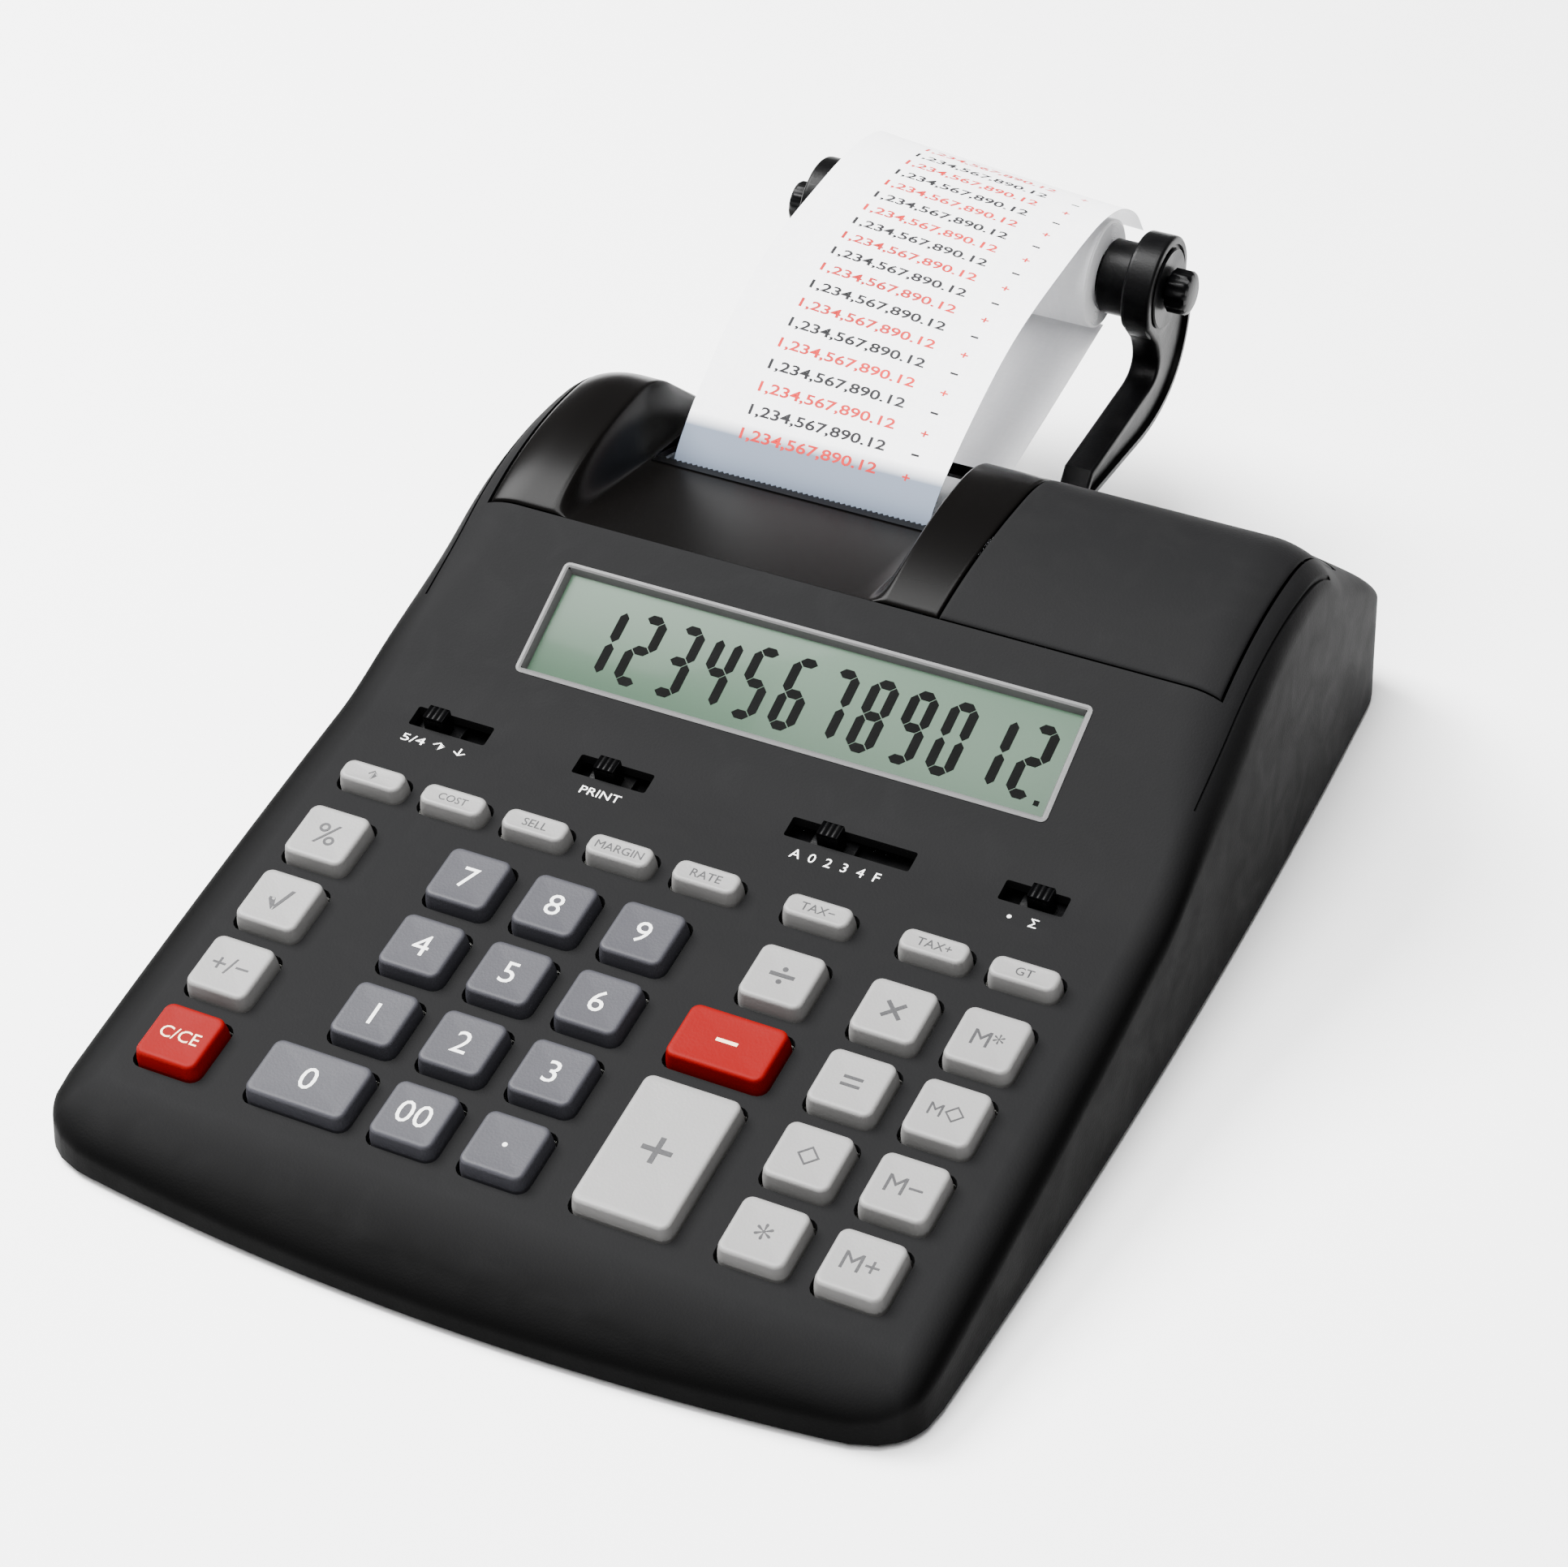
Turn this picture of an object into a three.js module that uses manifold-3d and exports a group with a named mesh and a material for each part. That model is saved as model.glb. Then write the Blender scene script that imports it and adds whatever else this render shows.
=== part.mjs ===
// Printing desk calculator with a paper roll on its rear holder. Millimetres, +Z up, +X right,
// the keyboard faces -Y. The origin is on the table, under the middle of the whole outline.
import * as THREE from 'three';
import { mergeVertices } from 'three/addons/utils/BufferGeometryUtils.js';
import Module from 'manifold-3d';

const wasm = await Module();
wasm.setup();

// ---- driving dimensions -------------------------------------------------------------------
const BODY_WIDTH = 178;            // widest, near the middle of the keyboard
const BODY_FRONT = -158;           // middle of the bowed front edge
const BODY_BACK = 104;
const FRONT_BOW = 6.3;             // how far the front edge falls back 80 mm off centre
const SIDE_BOW = 2.9;              // how far a side falls in 120 mm off its widest place
const WIDEST_Y = -81;
const FRONT_CORNER = 13;
const BACK_CORNER = 15;
const WALL = 2.4;
const SKIRT_Z = 1.4;               // lower rim of the upper case
const GAP = 0.35;                  // between parts that meet

const DECK_Y = -74;                // row of the 7, 8 and 9 keys
const DECK_Z = 25;                 // keyboard surface there
const DECK_TILT = THREE.MathUtils.degToRad(11.25);
const PANEL_START = [-34, 32.95];  // where the display panel leaves the keyboard
const PANEL_TILT = THREE.MathUtils.degToRad(29);
const HUMP_FRONT_Y = 6.5;          // groove between display panel and printer cover
const CREST = [42, 63.5];          // top of the hump
const BACK_SLOPE = [[57.7, 58.2], [91, 31.2]];
const HUMP_ROUND = 12;             // rounding of the hump's two ends

const COLUMN = 18.5;               // key pitch across
const ROW = 17.84;                 // key pitch up the slope
const KEY_TOP = [12.9, 12.95];
const SMALL_TOP = [13.3, 5.2];
const KEY_RISE = 3;
const KEY_SKIRT = 2.3;             // key body below the keyboard surface
const HOLE_CLEARANCE = 0.5;
const KEY_COLUMNS = [-3.77, -2.1, -1.1, -0.1, 1.45, 2.66, 3.66];   // in column pitches
const SMALL_COLUMNS = [-3.745, -2.78, -1.81, -0.83, 0.16, 1.41, 2.685, 3.655];
const SMALL_ROW = 0.943;           // in row pitches above the 7-8-9 row
const ZERO_KEY = [-2.29, 20.6];    // centre in column pitches, length
const MINUS_KEY = [1.32, 19.6];
const PLUS_KEY = [1.29, 19.3, 30.7];
const MAT_TOP = -5.6;              // below the keyboard surface, square to it
const BOARD_TOP = -7.0;

const SWITCHES = [                 // slot centre, slot length, knob's place in the slot
  { name: 'rounding_switch', x: -63, slot: 17, knob: -3 },
  { name: 'print_switch', x: -27.2, slot: 16, knob: -1 },
  { name: 'decimal_switch', x: 23.4, slot: 26, knob: -4 },
  { name: 'total_switch', x: 61, slot: 13, knob: 1.5 },
];
const SWITCH_V = 36.2;
const SLOT_DEPTH = 4.8;
const KNOB_SIZE = [4.6, 3.6, 2.6];

const WINDOW = { x: 112.4, low: 11.8, high: 36.2 };  // low and high: along the panel

const COVER_HALF = 79;             // side seams of the printer cover
const COVER_BACK = 70;
const GLOSS_EDGE = 21;             // where the glossy part of the cover meets the matt part
const NOTCH = [-59.5, 5];          // paper notch in the cover
const TEAR_BAR = [42.3, 50];       // upper rear edge of the low strip before the paper

const PAPER_WIDTH = 58;
const PAPER_X = -27.7;             // middle of the paper
const PAPER_THICK = 0.35;
const PLATEN = { y: 52, z: 30, r: 8.8 };
const PAPER_TWIST = 2.8;           // the tape's left edge rides this much high, its right edge low
const SPINDLE = { y: 136, z: 61, r: 4 };
const ROLL_R = 12;
const ARMS = { middle: -26, half: 38.5 };  // the two roll arms stand this far off their middle
const ARM_WIDTH = 7.4;

const FEET = [{ y: -138, half: 66 }, { y: 84, half: 58 }];

const COLOURS = {
  case: [0x3b3b3d, 0.62], base: [0x222224, 0.7], gloss: [0x0c0c0e, 0.12], numberKey: [0x5e5e68, 0.5],
  lightKey: [0xc9c7be, 0.5], redKey: [0xb3261f, 0.45], black: [0x141416, 0.45], paper: [0xf6f4ee, 0.9],
  rubber: [0x1b1b1b, 0.9], board: [0x1f5a34, 0.5], mat: [0xa9a9a2, 0.8], glass: [0xa5b7a8, 0.15],
  steel: [0x9b9ea3, 0.35],
};

// ---- helpers --------------------------------------------------------------------------------
const assembly = new THREE.Group();
assembly.name = 'desk_calculator';

const material = (key) => new THREE.MeshStandardMaterial({
  color: COLOURS[key][0], roughness: COLOURS[key][1], metalness: key === 'steel' ? 0.9 : 0,
});

function toSolid(geometry) {
  const bare = geometry.clone();
  bare.deleteAttribute('normal');
  bare.deleteAttribute('uv');
  const merged = mergeVertices(bare, 1e-4);
  return new wasm.Manifold(new wasm.Mesh({
    numProp: 3,
    vertProperties: new Float32Array(merged.attributes.position.array),
    triVerts: new Uint32Array(merged.index.array),
  }));
}

function toGeometry(solid) {
  const mesh = solid.getMesh();
  const geometry = new THREE.BufferGeometry();
  geometry.setAttribute('position', new THREE.BufferAttribute(new Float32Array(mesh.vertProperties), 3));
  geometry.setIndex(new THREE.BufferAttribute(new Uint32Array(mesh.triVerts), 1));
  geometry.computeVertexNormals();
  return geometry;
}

function add(name, solid, colour, parent = assembly) {
  const geometry = solid.isBufferGeometry ? solid : toGeometry(solid);
  const mesh = new THREE.Mesh(geometry, material(colour));
  mesh.name = name;
  parent.add(mesh);
  return mesh;
}

// An outline of [a, b] points pushed along one axis from low to high.
function push(points, axis, low, high) {
  const shape = new THREE.Shape(points.map(([a, b]) => new THREE.Vector2(a, b)));
  const geometry = new THREE.ExtrudeGeometry(shape, { depth: high - low, bevelEnabled: false });
  geometry.translate(0, 0, low);
  const turn = new THREE.Matrix4();
  if (axis === 'x') turn.makeBasis(new THREE.Vector3(0, 1, 0), new THREE.Vector3(0, 0, 1),
    new THREE.Vector3(1, 0, 0));
  if (axis === 'y') {
    geometry.scale(1, 1, -1);
    turn.makeBasis(new THREE.Vector3(1, 0, 0), new THREE.Vector3(0, 0, 1), new THREE.Vector3(0, -1, 0));
    return toSolid(flip(geometry).applyMatrix4(turn));
  }
  return toSolid(geometry.applyMatrix4(turn));
}

// Turns every triangle over.
function flip(geometry) {
  const flat = geometry.index ? geometry.toNonIndexed() : geometry;
  const p = flat.attributes.position;
  for (let i = 0; i < p.count; i += 3) {
    const [x, y, z] = [p.getX(i), p.getY(i), p.getZ(i)];
    p.setXYZ(i, p.getX(i + 1), p.getY(i + 1), p.getZ(i + 1));
    p.setXYZ(i + 1, x, y, z);
  }
  return flat;
}

function box(x0, x1, y0, y1, z0, z1) {
  const geometry = new THREE.BoxGeometry(x1 - x0, y1 - y0, z1 - z0);
  geometry.translate((x0 + x1) / 2, (y0 + y1) / 2, (z0 + z1) / 2);
  return toSolid(geometry);
}

// A round bar along X.
function bar(x0, x1, y, z, r, sides = 20) {
  const geometry = new THREE.CylinderGeometry(r, r, x1 - x0, sides);
  geometry.rotateZ(Math.PI / 2);
  geometry.translate((x0 + x1) / 2, y, z);
  return toSolid(geometry);
}

const join = (...solids) => solids.reduce((sum, solid) => sum.add(solid));
const cut = (solid, ...tools) => tools.reduce((rest, tool) => rest.subtract(tool), solid);

function bezier(p0, p1, p2, steps) {
  const points = [];
  for (let i = 0; i <= steps; i += 1) {
    const t = i / steps;
    const s = 1 - t;
    points.push([0, 1].map((k) => s * s * p0[k] + 2 * s * t * p1[k] + t * t * p2[k]));
  }
  return points;
}

// A rectangle with rounded corners, counter-clockwise.
function roundRect(width, depth, radius, steps = 3, cx = 0, cy = 0) {
  const points = [];
  const corners = [[1, 1, 0], [-1, 1, 1], [-1, -1, 2], [1, -1, 3]];
  for (const [sx, sy, quarter] of corners) {
    for (let i = 0; i <= steps; i += 1) {
      const a = (quarter + i / steps) * Math.PI / 2;
      points.push([cx + sx * (width / 2 - radius) + radius * Math.cos(a),
        cy + sy * (depth / 2 - radius) + radius * Math.sin(a)]);
    }
  }
  return points;
}

// A closed skin over rings of equal length.
function skin(rings) {
  const n = rings[0].length;
  const positions = rings.flat(2);
  const index = [];
  for (let k = 0; k + 1 < rings.length; k += 1) {
    for (let i = 0; i < n; i += 1) {
      const [a, b] = [k * n + i, k * n + (i + 1) % n];
      index.push(a, b, b + n, a, b + n, a + n);
    }
  }
  const top = (rings.length - 1) * n;
  for (let i = 1; i + 1 < n; i += 1) {
    index.push(0, i + 1, i, top, top + i, top + i + 1);
  }
  const geometry = new THREE.BufferGeometry();
  geometry.setAttribute('position', new THREE.Float32BufferAttribute(positions, 3));
  geometry.setIndex(index);
  geometry.computeVertexNormals();
  return geometry;
}

// The same over outlines that each lie at their own height.
const loft = (rings) => skin(rings.map(({ points, z }) => points.map(([x, y]) => [x, y, z])));

// ---- the case's two outlines ------------------------------------------------------------------
const deckZ = (y) => DECK_Z + (y - DECK_Y) * Math.tan(DECK_TILT);
const panelZ = (y) => PANEL_START[1] + (y - PANEL_START[0]) * Math.tan(PANEL_TILT);

// Side view, drawn in by inset on every side but the bottom.
function sideProfile(inset, bottom) {
  const nose = bezier([BODY_FRONT, 4], [BODY_FRONT, deckZ(BODY_FRONT)],
    [BODY_FRONT + 10, deckZ(BODY_FRONT + 10)], 6);
  const crook = bezier([PANEL_START[0] - 6, deckZ(PANEL_START[0] - 6)], PANEL_START,
    [PANEL_START[0] + 6, panelZ(PANEL_START[0] + 6)], 4);
  const brow = bezier([HUMP_FRONT_Y, panelZ(HUMP_FRONT_Y)], [22, CREST[1]], CREST, 6);
  const crest = bezier(CREST, [CREST[0] + 9, CREST[1]], BACK_SLOPE[0], 4).slice(1);
  const tail = bezier(BACK_SLOPE[1], [BODY_BACK, BACK_SLOPE[1][1] - 10.5], [BODY_BACK, 8], 6);
  const top = [...nose, ...crook, ...brow, ...crest, ...tail];
  const shifted = top.map(([y, z], i) => {
    const before = top[Math.max(i - 1, 0)];
    const after = top[Math.min(i + 1, top.length - 1)];
    const [dy, dz] = [after[0] - before[0], after[1] - before[1]];
    const length = Math.hypot(dy, dz);
    return [y + inset * dz / length, z - inset * dy / length];
  });
  return [[BODY_FRONT + inset, bottom], ...shifted, [BODY_BACK - inset, bottom]].reverse();
}

// Plan view: bowed sides and front, rounded corners, drawn in by inset.
function planOutline(inset) {
  const halfAt = (y) => BODY_WIDTH / 2 - SIDE_BOW * ((y - WIDEST_Y) / 120) ** 2 - inset;
  const frontAt = (x) => BODY_FRONT + FRONT_BOW * (x / 80) ** 2 + inset;
  const back = BODY_BACK - inset;
  const backHalf = halfAt(back - BACK_CORNER);
  const frontHalf = halfAt(frontAt(BODY_WIDTH / 2) + FRONT_CORNER);
  const frontX = frontHalf - FRONT_CORNER;
  const points = [];
  for (let i = 0; i <= 8; i += 1) points.push([i / 8 * frontX, frontAt(i / 8 * frontX)]);
  points.push(...bezier([frontX, frontAt(frontX)], [frontHalf - 1, frontAt(frontHalf - 1)],
    [frontHalf, frontAt(frontX) + FRONT_CORNER], 5).slice(1));
  const startY = frontAt(frontX) + FRONT_CORNER;
  for (let i = 1; i <= 8; i += 1) {
    const y = startY + (back - BACK_CORNER - startY) * i / 8;
    points.push([halfAt(y), y]);
  }
  points.push(...bezier([backHalf, back - BACK_CORNER], [backHalf - 1, back], [backHalf - BACK_CORNER, back], 5)
    .slice(1));
  const mirrored = points.slice(1).reverse().map(([x, y]) => [-x, y]);
  return [...points, ...mirrored];
}

// Front view: straight walls, with the hump's ends rounded.
function frontProfile(inset, bottom) {
  const half = BODY_WIDTH / 2 + 2 - inset;
  const top = CREST[1] + 1 - inset;
  const endHalf = 86.2 - inset;
  const right = bezier([endHalf, top - HUMP_ROUND], [endHalf, top], [endHalf - HUMP_ROUND - 4, top], 6);
  const left = right.map(([x, z]) => [-x, z]).reverse();
  return [[-half, bottom], [half, bottom], [half, 40], ...right, ...left, [-half, 40]];
}

function bodyBlock(inset, bottom) {
  return push(sideProfile(inset, bottom), 'x', -95, 95)
    .intersect(push(planOutline(inset), 'z', bottom, 80))
    .intersect(push(frontProfile(inset, bottom), 'y', -170, 120));
}

const outside = bodyBlock(0, SKIRT_Z);
const inside = bodyBlock(WALL, SKIRT_Z - 1);
const shell = cut(outside, inside);

// ---- keyboard ---------------------------------------------------------------------------------
const deck = new THREE.Group();
deck.name = 'keyboard_frame';
deck.position.set(0, DECK_Y, DECK_Z);
deck.rotation.x = DECK_TILT;
assembly.add(deck);

const toDeck = new THREE.Matrix4().makeRotationX(DECK_TILT).setPosition(0, DECK_Y, DECK_Z);

const number = (row, column, name) => ({ name, u: KEY_COLUMNS[column], v: -row, colour: 'numberKey' });
const light = (row, column, name, colour = 'lightKey') => (
  { name, u: KEY_COLUMNS[column], v: -row, colour });
const KEYS = [
  number(0, 1, 'key_7'), number(0, 2, 'key_8'), number(0, 3, 'key_9'),
  number(1, 1, 'key_4'), number(1, 2, 'key_5'), number(1, 3, 'key_6'),
  number(2, 1, 'key_1'), number(2, 2, 'key_2'), number(2, 3, 'key_3'),
  { name: 'key_0', u: ZERO_KEY[0], v: -3, width: ZERO_KEY[1], colour: 'numberKey' },
  number(3, 2, 'key_00'), number(3, 3, 'key_point'),
  light(0, 0, 'key_percent'), light(1, 0, 'key_root'), light(2, 0, 'key_sign'),
  light(3, 0, 'key_clear', 'redKey'),
  light(0, 4, 'key_divide'),
  { name: 'key_minus', u: MINUS_KEY[0], v: -1, width: MINUS_KEY[1], colour: 'redKey' },
  { name: 'key_plus', u: PLUS_KEY[0], v: -2.5, width: PLUS_KEY[1], depth: PLUS_KEY[2], colour: 'lightKey' },
  light(0, 5, 'key_multiply'), light(1, 5, 'key_equals'),
  light(2, 5, 'key_subtotal'), light(3, 5, 'key_total'),
  light(0, 6, 'key_memory_total'), light(1, 6, 'key_memory_subtotal'),
  light(2, 6, 'key_memory_minus'), light(3, 6, 'key_memory_plus'),
  ...['feed', 'cost', 'sell', 'margin', 'rate', 'tax_minus', 'tax_plus', 'grand_total'].map((word, i) => ({
    name: `key_${word}`, u: SMALL_COLUMNS[i], v: SMALL_ROW, width: SMALL_TOP[0], depth: SMALL_TOP[1],
    colour: 'lightKey',
  })),
];

function keySize(key) {
  const width = key.width ?? KEY_TOP[0];
  const depth = key.depth ?? KEY_TOP[1];
  return { width, depth, baseWidth: width + 0.9, baseDepth: depth + 0.9 };
}

function keySolid({ width, depth, baseWidth, baseDepth }) {
  const radius = Math.min(1.6, depth / 3);
  const ring = (w, d, z) => ({ points: roundRect(w, d, radius, 2), z });
  const flange = 1.3;
  return loft([
    ring(baseWidth + flange, baseDepth + flange, -KEY_SKIRT - 1),
    ring(baseWidth + flange, baseDepth + flange, -KEY_SKIRT - 0.25),
    ring(baseWidth, baseDepth, -KEY_SKIRT - 0.2),
    ring(baseWidth, baseDepth, 0.2),
    ring(width, depth, KEY_RISE),
  ]);
}

const keyHoles = [];
for (const key of KEYS) {
  const size = keySize(key);
  const mesh = add(key.name, keySolid(size), key.colour, deck);
  mesh.position.set(key.u * COLUMN, key.v * ROW, 0);
  const [hw, hd] = [size.baseWidth / 2 + HOLE_CLEARANCE, size.baseDepth / 2 + HOLE_CLEARANCE];
  const hole = new THREE.BoxGeometry(hw * 2, hd * 2, 12);
  hole.translate(key.u * COLUMN, key.v * ROW, 0);
  keyHoles.push(toSolid(hole.applyMatrix4(toDeck)));
}

// Slide switches: a knob on a wider foot that runs under the keyboard surface.
const slotHoles = [];
for (const { name, x, slot, knob } of SWITCHES) {
  const [kx, ky, kz] = KNOB_SIZE;
  const cap = new THREE.BoxGeometry(kx, ky, kz + WALL + 0.4);
  cap.translate(0, 0, (kz - WALL - 0.4) / 2);
  const foot = new THREE.BoxGeometry(kx + 5, SLOT_DEPTH + 2.4, 1);
  foot.translate(0, 0, -WALL - 0.9);
  const mesh = add(name, join(toSolid(cap), toSolid(foot)), 'black', deck);
  mesh.position.set(x + knob, SWITCH_V, 0);
  const hole = new THREE.BoxGeometry(slot, SLOT_DEPTH, 12);
  hole.translate(x, SWITCH_V, 0);
  slotHoles.push(toSolid(hole.applyMatrix4(toDeck)));
}

// Rubber mat and circuit board under the keys.
const sheet = (width, low, high, top, thick) => {
  const geometry = new THREE.BoxGeometry(width, high - low, thick);
  geometry.translate(0, (low + high) / 2, top - thick / 2);
  return geometry;
};
const domes = KEYS.map((key) => {
  const dome = new THREE.CylinderGeometry(1.6, 2.4, 1.0, 8);
  dome.rotateX(Math.PI / 2);
  dome.translate(key.u * COLUMN, key.v * ROW, MAT_TOP - 0.9);
  return toSolid(dome);
});
const matSheet = toSolid(sheet(154, -3.6 * ROW, 1.2 * ROW, MAT_TOP - 0.5, 0.7));
add('key_mat', matSheet.add(wasm.Manifold.union(domes)), 'mat', deck);
add('main_board', sheet(160, -3.65 * ROW, 1.5 * ROW, BOARD_TOP, 1.4), 'board', deck);

// ---- display ----------------------------------------------------------------------------------
const toPanel = new THREE.Matrix4().makeRotationX(PANEL_TILT).setPosition(0, ...PANEL_START);
const windowHole = new THREE.BoxGeometry(WINDOW.x, WINDOW.high - WINDOW.low, 16);
windowHole.translate(0, (WINDOW.low + WINDOW.high) / 2, 0);
const lcd = new THREE.BoxGeometry(WINDOW.x + 8, WINDOW.high - WINDOW.low + 5, 2.4);
lcd.translate(0, (WINDOW.low + WINDOW.high) / 2, -WALL - GAP - 1.2);
add('lcd_panel', lcd.applyMatrix4(toPanel), 'glass');

// ---- cases ------------------------------------------------------------------------------------
const coverOpening = box(-COVER_HALF - GAP, COVER_HALF + GAP, HUMP_FRONT_Y - GAP, COVER_BACK + GAP, 32, 90);
const feedSlot = box(PAPER_X - PAPER_WIDTH / 2 - 2, PAPER_X + PAPER_WIDTH / 2 + 2, 77, 89, 28, 50);
const armHole = (side) => box(ARMS.middle + side * ARMS.half - ARM_WIDTH / 2 - GAP,
  ARMS.middle + side * ARMS.half + ARM_WIDTH / 2 + GAP, 80, 100, 27 - GAP, 33 + GAP);
const socketHole = box(52 - GAP, 64 + GAP, 90, 120, 6 - GAP, 16 + GAP);
add('top_case', cut(shell, coverOpening, wasm.Manifold.union([...keyHoles, ...slotHoles]),
  toSolid(windowHole.applyMatrix4(toPanel)), feedSlot, armHole(-1), armHole(1), socketHole), 'case');

const foot = (y, halfLength, z, margin = 0) => push(
  roundRect(halfLength * 2 + margin, 9 + margin, 4.4, 4, 0, y), 'z', z, 1.6 + margin / 2);
const floor = bodyBlock(WALL + GAP, 0.9).intersect(box(-95, 95, -170, 120, 0.9, 5.4));
const floorHollow = push(planOutline(WALL + GAP + 1.6), 'z', 2.9, 6);
add('bottom_case', cut(floor, floorHollow, foot(FEET[0].y, FEET[0].half, 0, 0.7),
  foot(FEET[1].y, FEET[1].half, 0, 0.7)), 'base');
add('front_foot', foot(FEET[0].y, FEET[0].half, 0), 'rubber');
add('rear_foot', foot(FEET[1].y, FEET[1].half, 0), 'rubber');

add('power_socket', cut(box(52, 64, 88, 102.8, 6, 16),
  toSolid(new THREE.CylinderGeometry(3.2, 3.2, 12, 16).translate(58, 100, 11))), 'black');

// ---- printer cover ------------------------------------------------------------------------------
const coverShell = shell.intersect(box(-COVER_HALF, COVER_HALF, HUMP_FRONT_Y, COVER_BACK, 32, 90));
add('printer_cover', coverShell.intersect(box(GLOSS_EDGE + GAP, COVER_HALF, 0, 90, 0, 90)), 'case');

const lowStrip = [[HUMP_FRONT_Y + 1, panelZ(HUMP_FRONT_Y) - 0.3], [HUMP_FRONT_Y + 1, panelZ(HUMP_FRONT_Y) - 2.6],
  [TEAR_BAR[0], TEAR_BAR[1] - 2.2], [TEAR_BAR[0], TEAR_BAR[1]]];
const aboveStrip = [[HUMP_FRONT_Y + 0.5, panelZ(HUMP_FRONT_Y) - 0.2], [TEAR_BAR[0], TEAR_BAR[1]],
  [COVER_BACK + 5, 20], [COVER_BACK + 5, 90], [HUMP_FRONT_Y + 0.5, 90]];
const glossShell = coverShell.intersect(box(-COVER_HALF, GLOSS_EDGE, 0, 90, 0, 90));
const cheek = (x0, x1) => outside.intersect(box(x0, x1, HUMP_FRONT_Y + 1, COVER_BACK, 0, 90))
  .intersect(push([[HUMP_FRONT_Y + 1, 52], [TEAR_BAR[0], 47.6], [COVER_BACK, 47.6], [COVER_BACK, 90],
    [HUMP_FRONT_Y + 1, 90]], 'x', -90, 90));
add('cover_window', join(
  cut(glossShell, push(aboveStrip, 'x', ...NOTCH)),
  push(lowStrip, 'x', NOTCH[0] - 1, NOTCH[1] + 1).intersect(outside),
  cheek(NOTCH[0] - 1.8, NOTCH[0]), cheek(NOTCH[1], NOTCH[1] + 1.8),
), 'gloss');

// ---- paper path ---------------------------------------------------------------------------------
const [PAPER_LEFT, PAPER_RIGHT] = [PAPER_X - PAPER_WIDTH / 2, PAPER_X + PAPER_WIDTH / 2];
const wrap = PLATEN.r + 0.6 + PAPER_THICK / 2;
const aroundPlaten = [-20, -50, -80, -110, -140, -170].map((degrees) => {
  const a = THREE.MathUtils.degToRad(degrees);
  return [PLATEN.y + wrap * Math.cos(a), PLATEN.z + wrap * Math.sin(a)];
});
const paperPath = new THREE.CatmullRomCurve3([
  [SPINDLE.y, SPINDLE.z - ROLL_R - 0.6], [110, 42.8], [84, 37.3], [70, 34],
  ...aroundPlaten, [42.7, 42],
  [44.6, 49.2], [50, 54.8], [58, 60.4], [68, 66], [80, 71], [94, 75], [108, 77.4], [122, 78.4],
  [134, 77.8], [145, 74.8], [153, 69.4], [157.82, 62.4],
].map(([y, z]) => new THREE.Vector3(0, y, z)), false, 'centripetal');
const spine = paperPath.getPoints(80);
const twistAt = (p) => PAPER_TWIST * THREE.MathUtils.smoothstep(p.z, 50, 77);
// Each step is a flat ring of four corners square to the path, a little higher on the left.
const paperRings = spine.map((p, i) => {
  const ahead = spine[Math.min(i + 1, spine.length - 1)];
  const tangent = ahead.clone().sub(spine[Math.max(i - 1, 0)]).normalize();
  const lift = (side) => p.z - side * twistAt(p);
  const corner = (side, face) => [PAPER_X + side * PAPER_WIDTH / 2,
    p.y - face * tangent.z * PAPER_THICK / 2, lift(side) + face * tangent.y * PAPER_THICK / 2];
  return [corner(-1, -1), corner(-1, 1), corner(1, 1), corner(1, -1)];
});
add('paper_tape', skin(paperRings), 'paper');

add('paper_roll', cut(bar(PAPER_LEFT, PAPER_RIGHT, SPINDLE.y, SPINDLE.z, ROLL_R, 40),
  bar(PAPER_LEFT - 1, PAPER_RIGHT + 1, SPINDLE.y, SPINDLE.z, SPINDLE.r + 1.6, 24)), 'paper');

const spindleEnd = PAPER_WIDTH / 2 + 1;
add('roll_spindle', join(
  bar(ARMS.middle - ARMS.half - 9, ARMS.middle + ARMS.half + 9, SPINDLE.y, SPINDLE.z, 2.6, 20),
  bar(PAPER_X - spindleEnd, PAPER_X + spindleEnd, SPINDLE.y, SPINDLE.z, SPINDLE.r, 20),
  ...[-1, 1].map((side) => {
    const x = ARMS.middle + side * (ARMS.half + 7);
    return bar(x - 2.6, x + 2.6, SPINDLE.y, SPINDLE.z, 5, 20);
  }),
), 'black');

// Holder arm: a tab in the case's back, a level beam, an elbow and a round eye for the spindle.
function arm(side) {
  const x = ARMS.middle + side * ARMS.half;
  const beam = [[88, 28], [93, 28], ...bezier([128, 30], [151, 31], [150.5, 50], 5),
    [147, 62], [128, 56], ...bezier([139.5, 48], [141, 38.5], [128, 38], 4), [96, 36], [94, 33], [88, 33]];
  return cut(
    join(push(beam, 'x', x - ARM_WIDTH / 2, x + ARM_WIDTH / 2),
      bar(x - ARM_WIDTH / 2, x + ARM_WIDTH / 2, SPINDLE.y, SPINDLE.z, 11.5, 32)),
    bar(x - 9, x + 9, SPINDLE.y, SPINDLE.z, 3, 20),
  );
}
add('left_roll_arm', arm(-1), 'black');
add('right_roll_arm', arm(1), 'black');

// ---- print mechanism under the cover --------------------------------------------------------------
const [SIDE_LEFT, SIDE_RIGHT] = [-66, 10];
const MODULE = 1;
const GEARS = { platen: 18, pinion: 9, x: 15, width: 4 };
const MOTOR = { y: PLATEN.y + (GEARS.platen + GEARS.pinion) * MODULE / 2 + 0.3, z: PLATEN.z };

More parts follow.
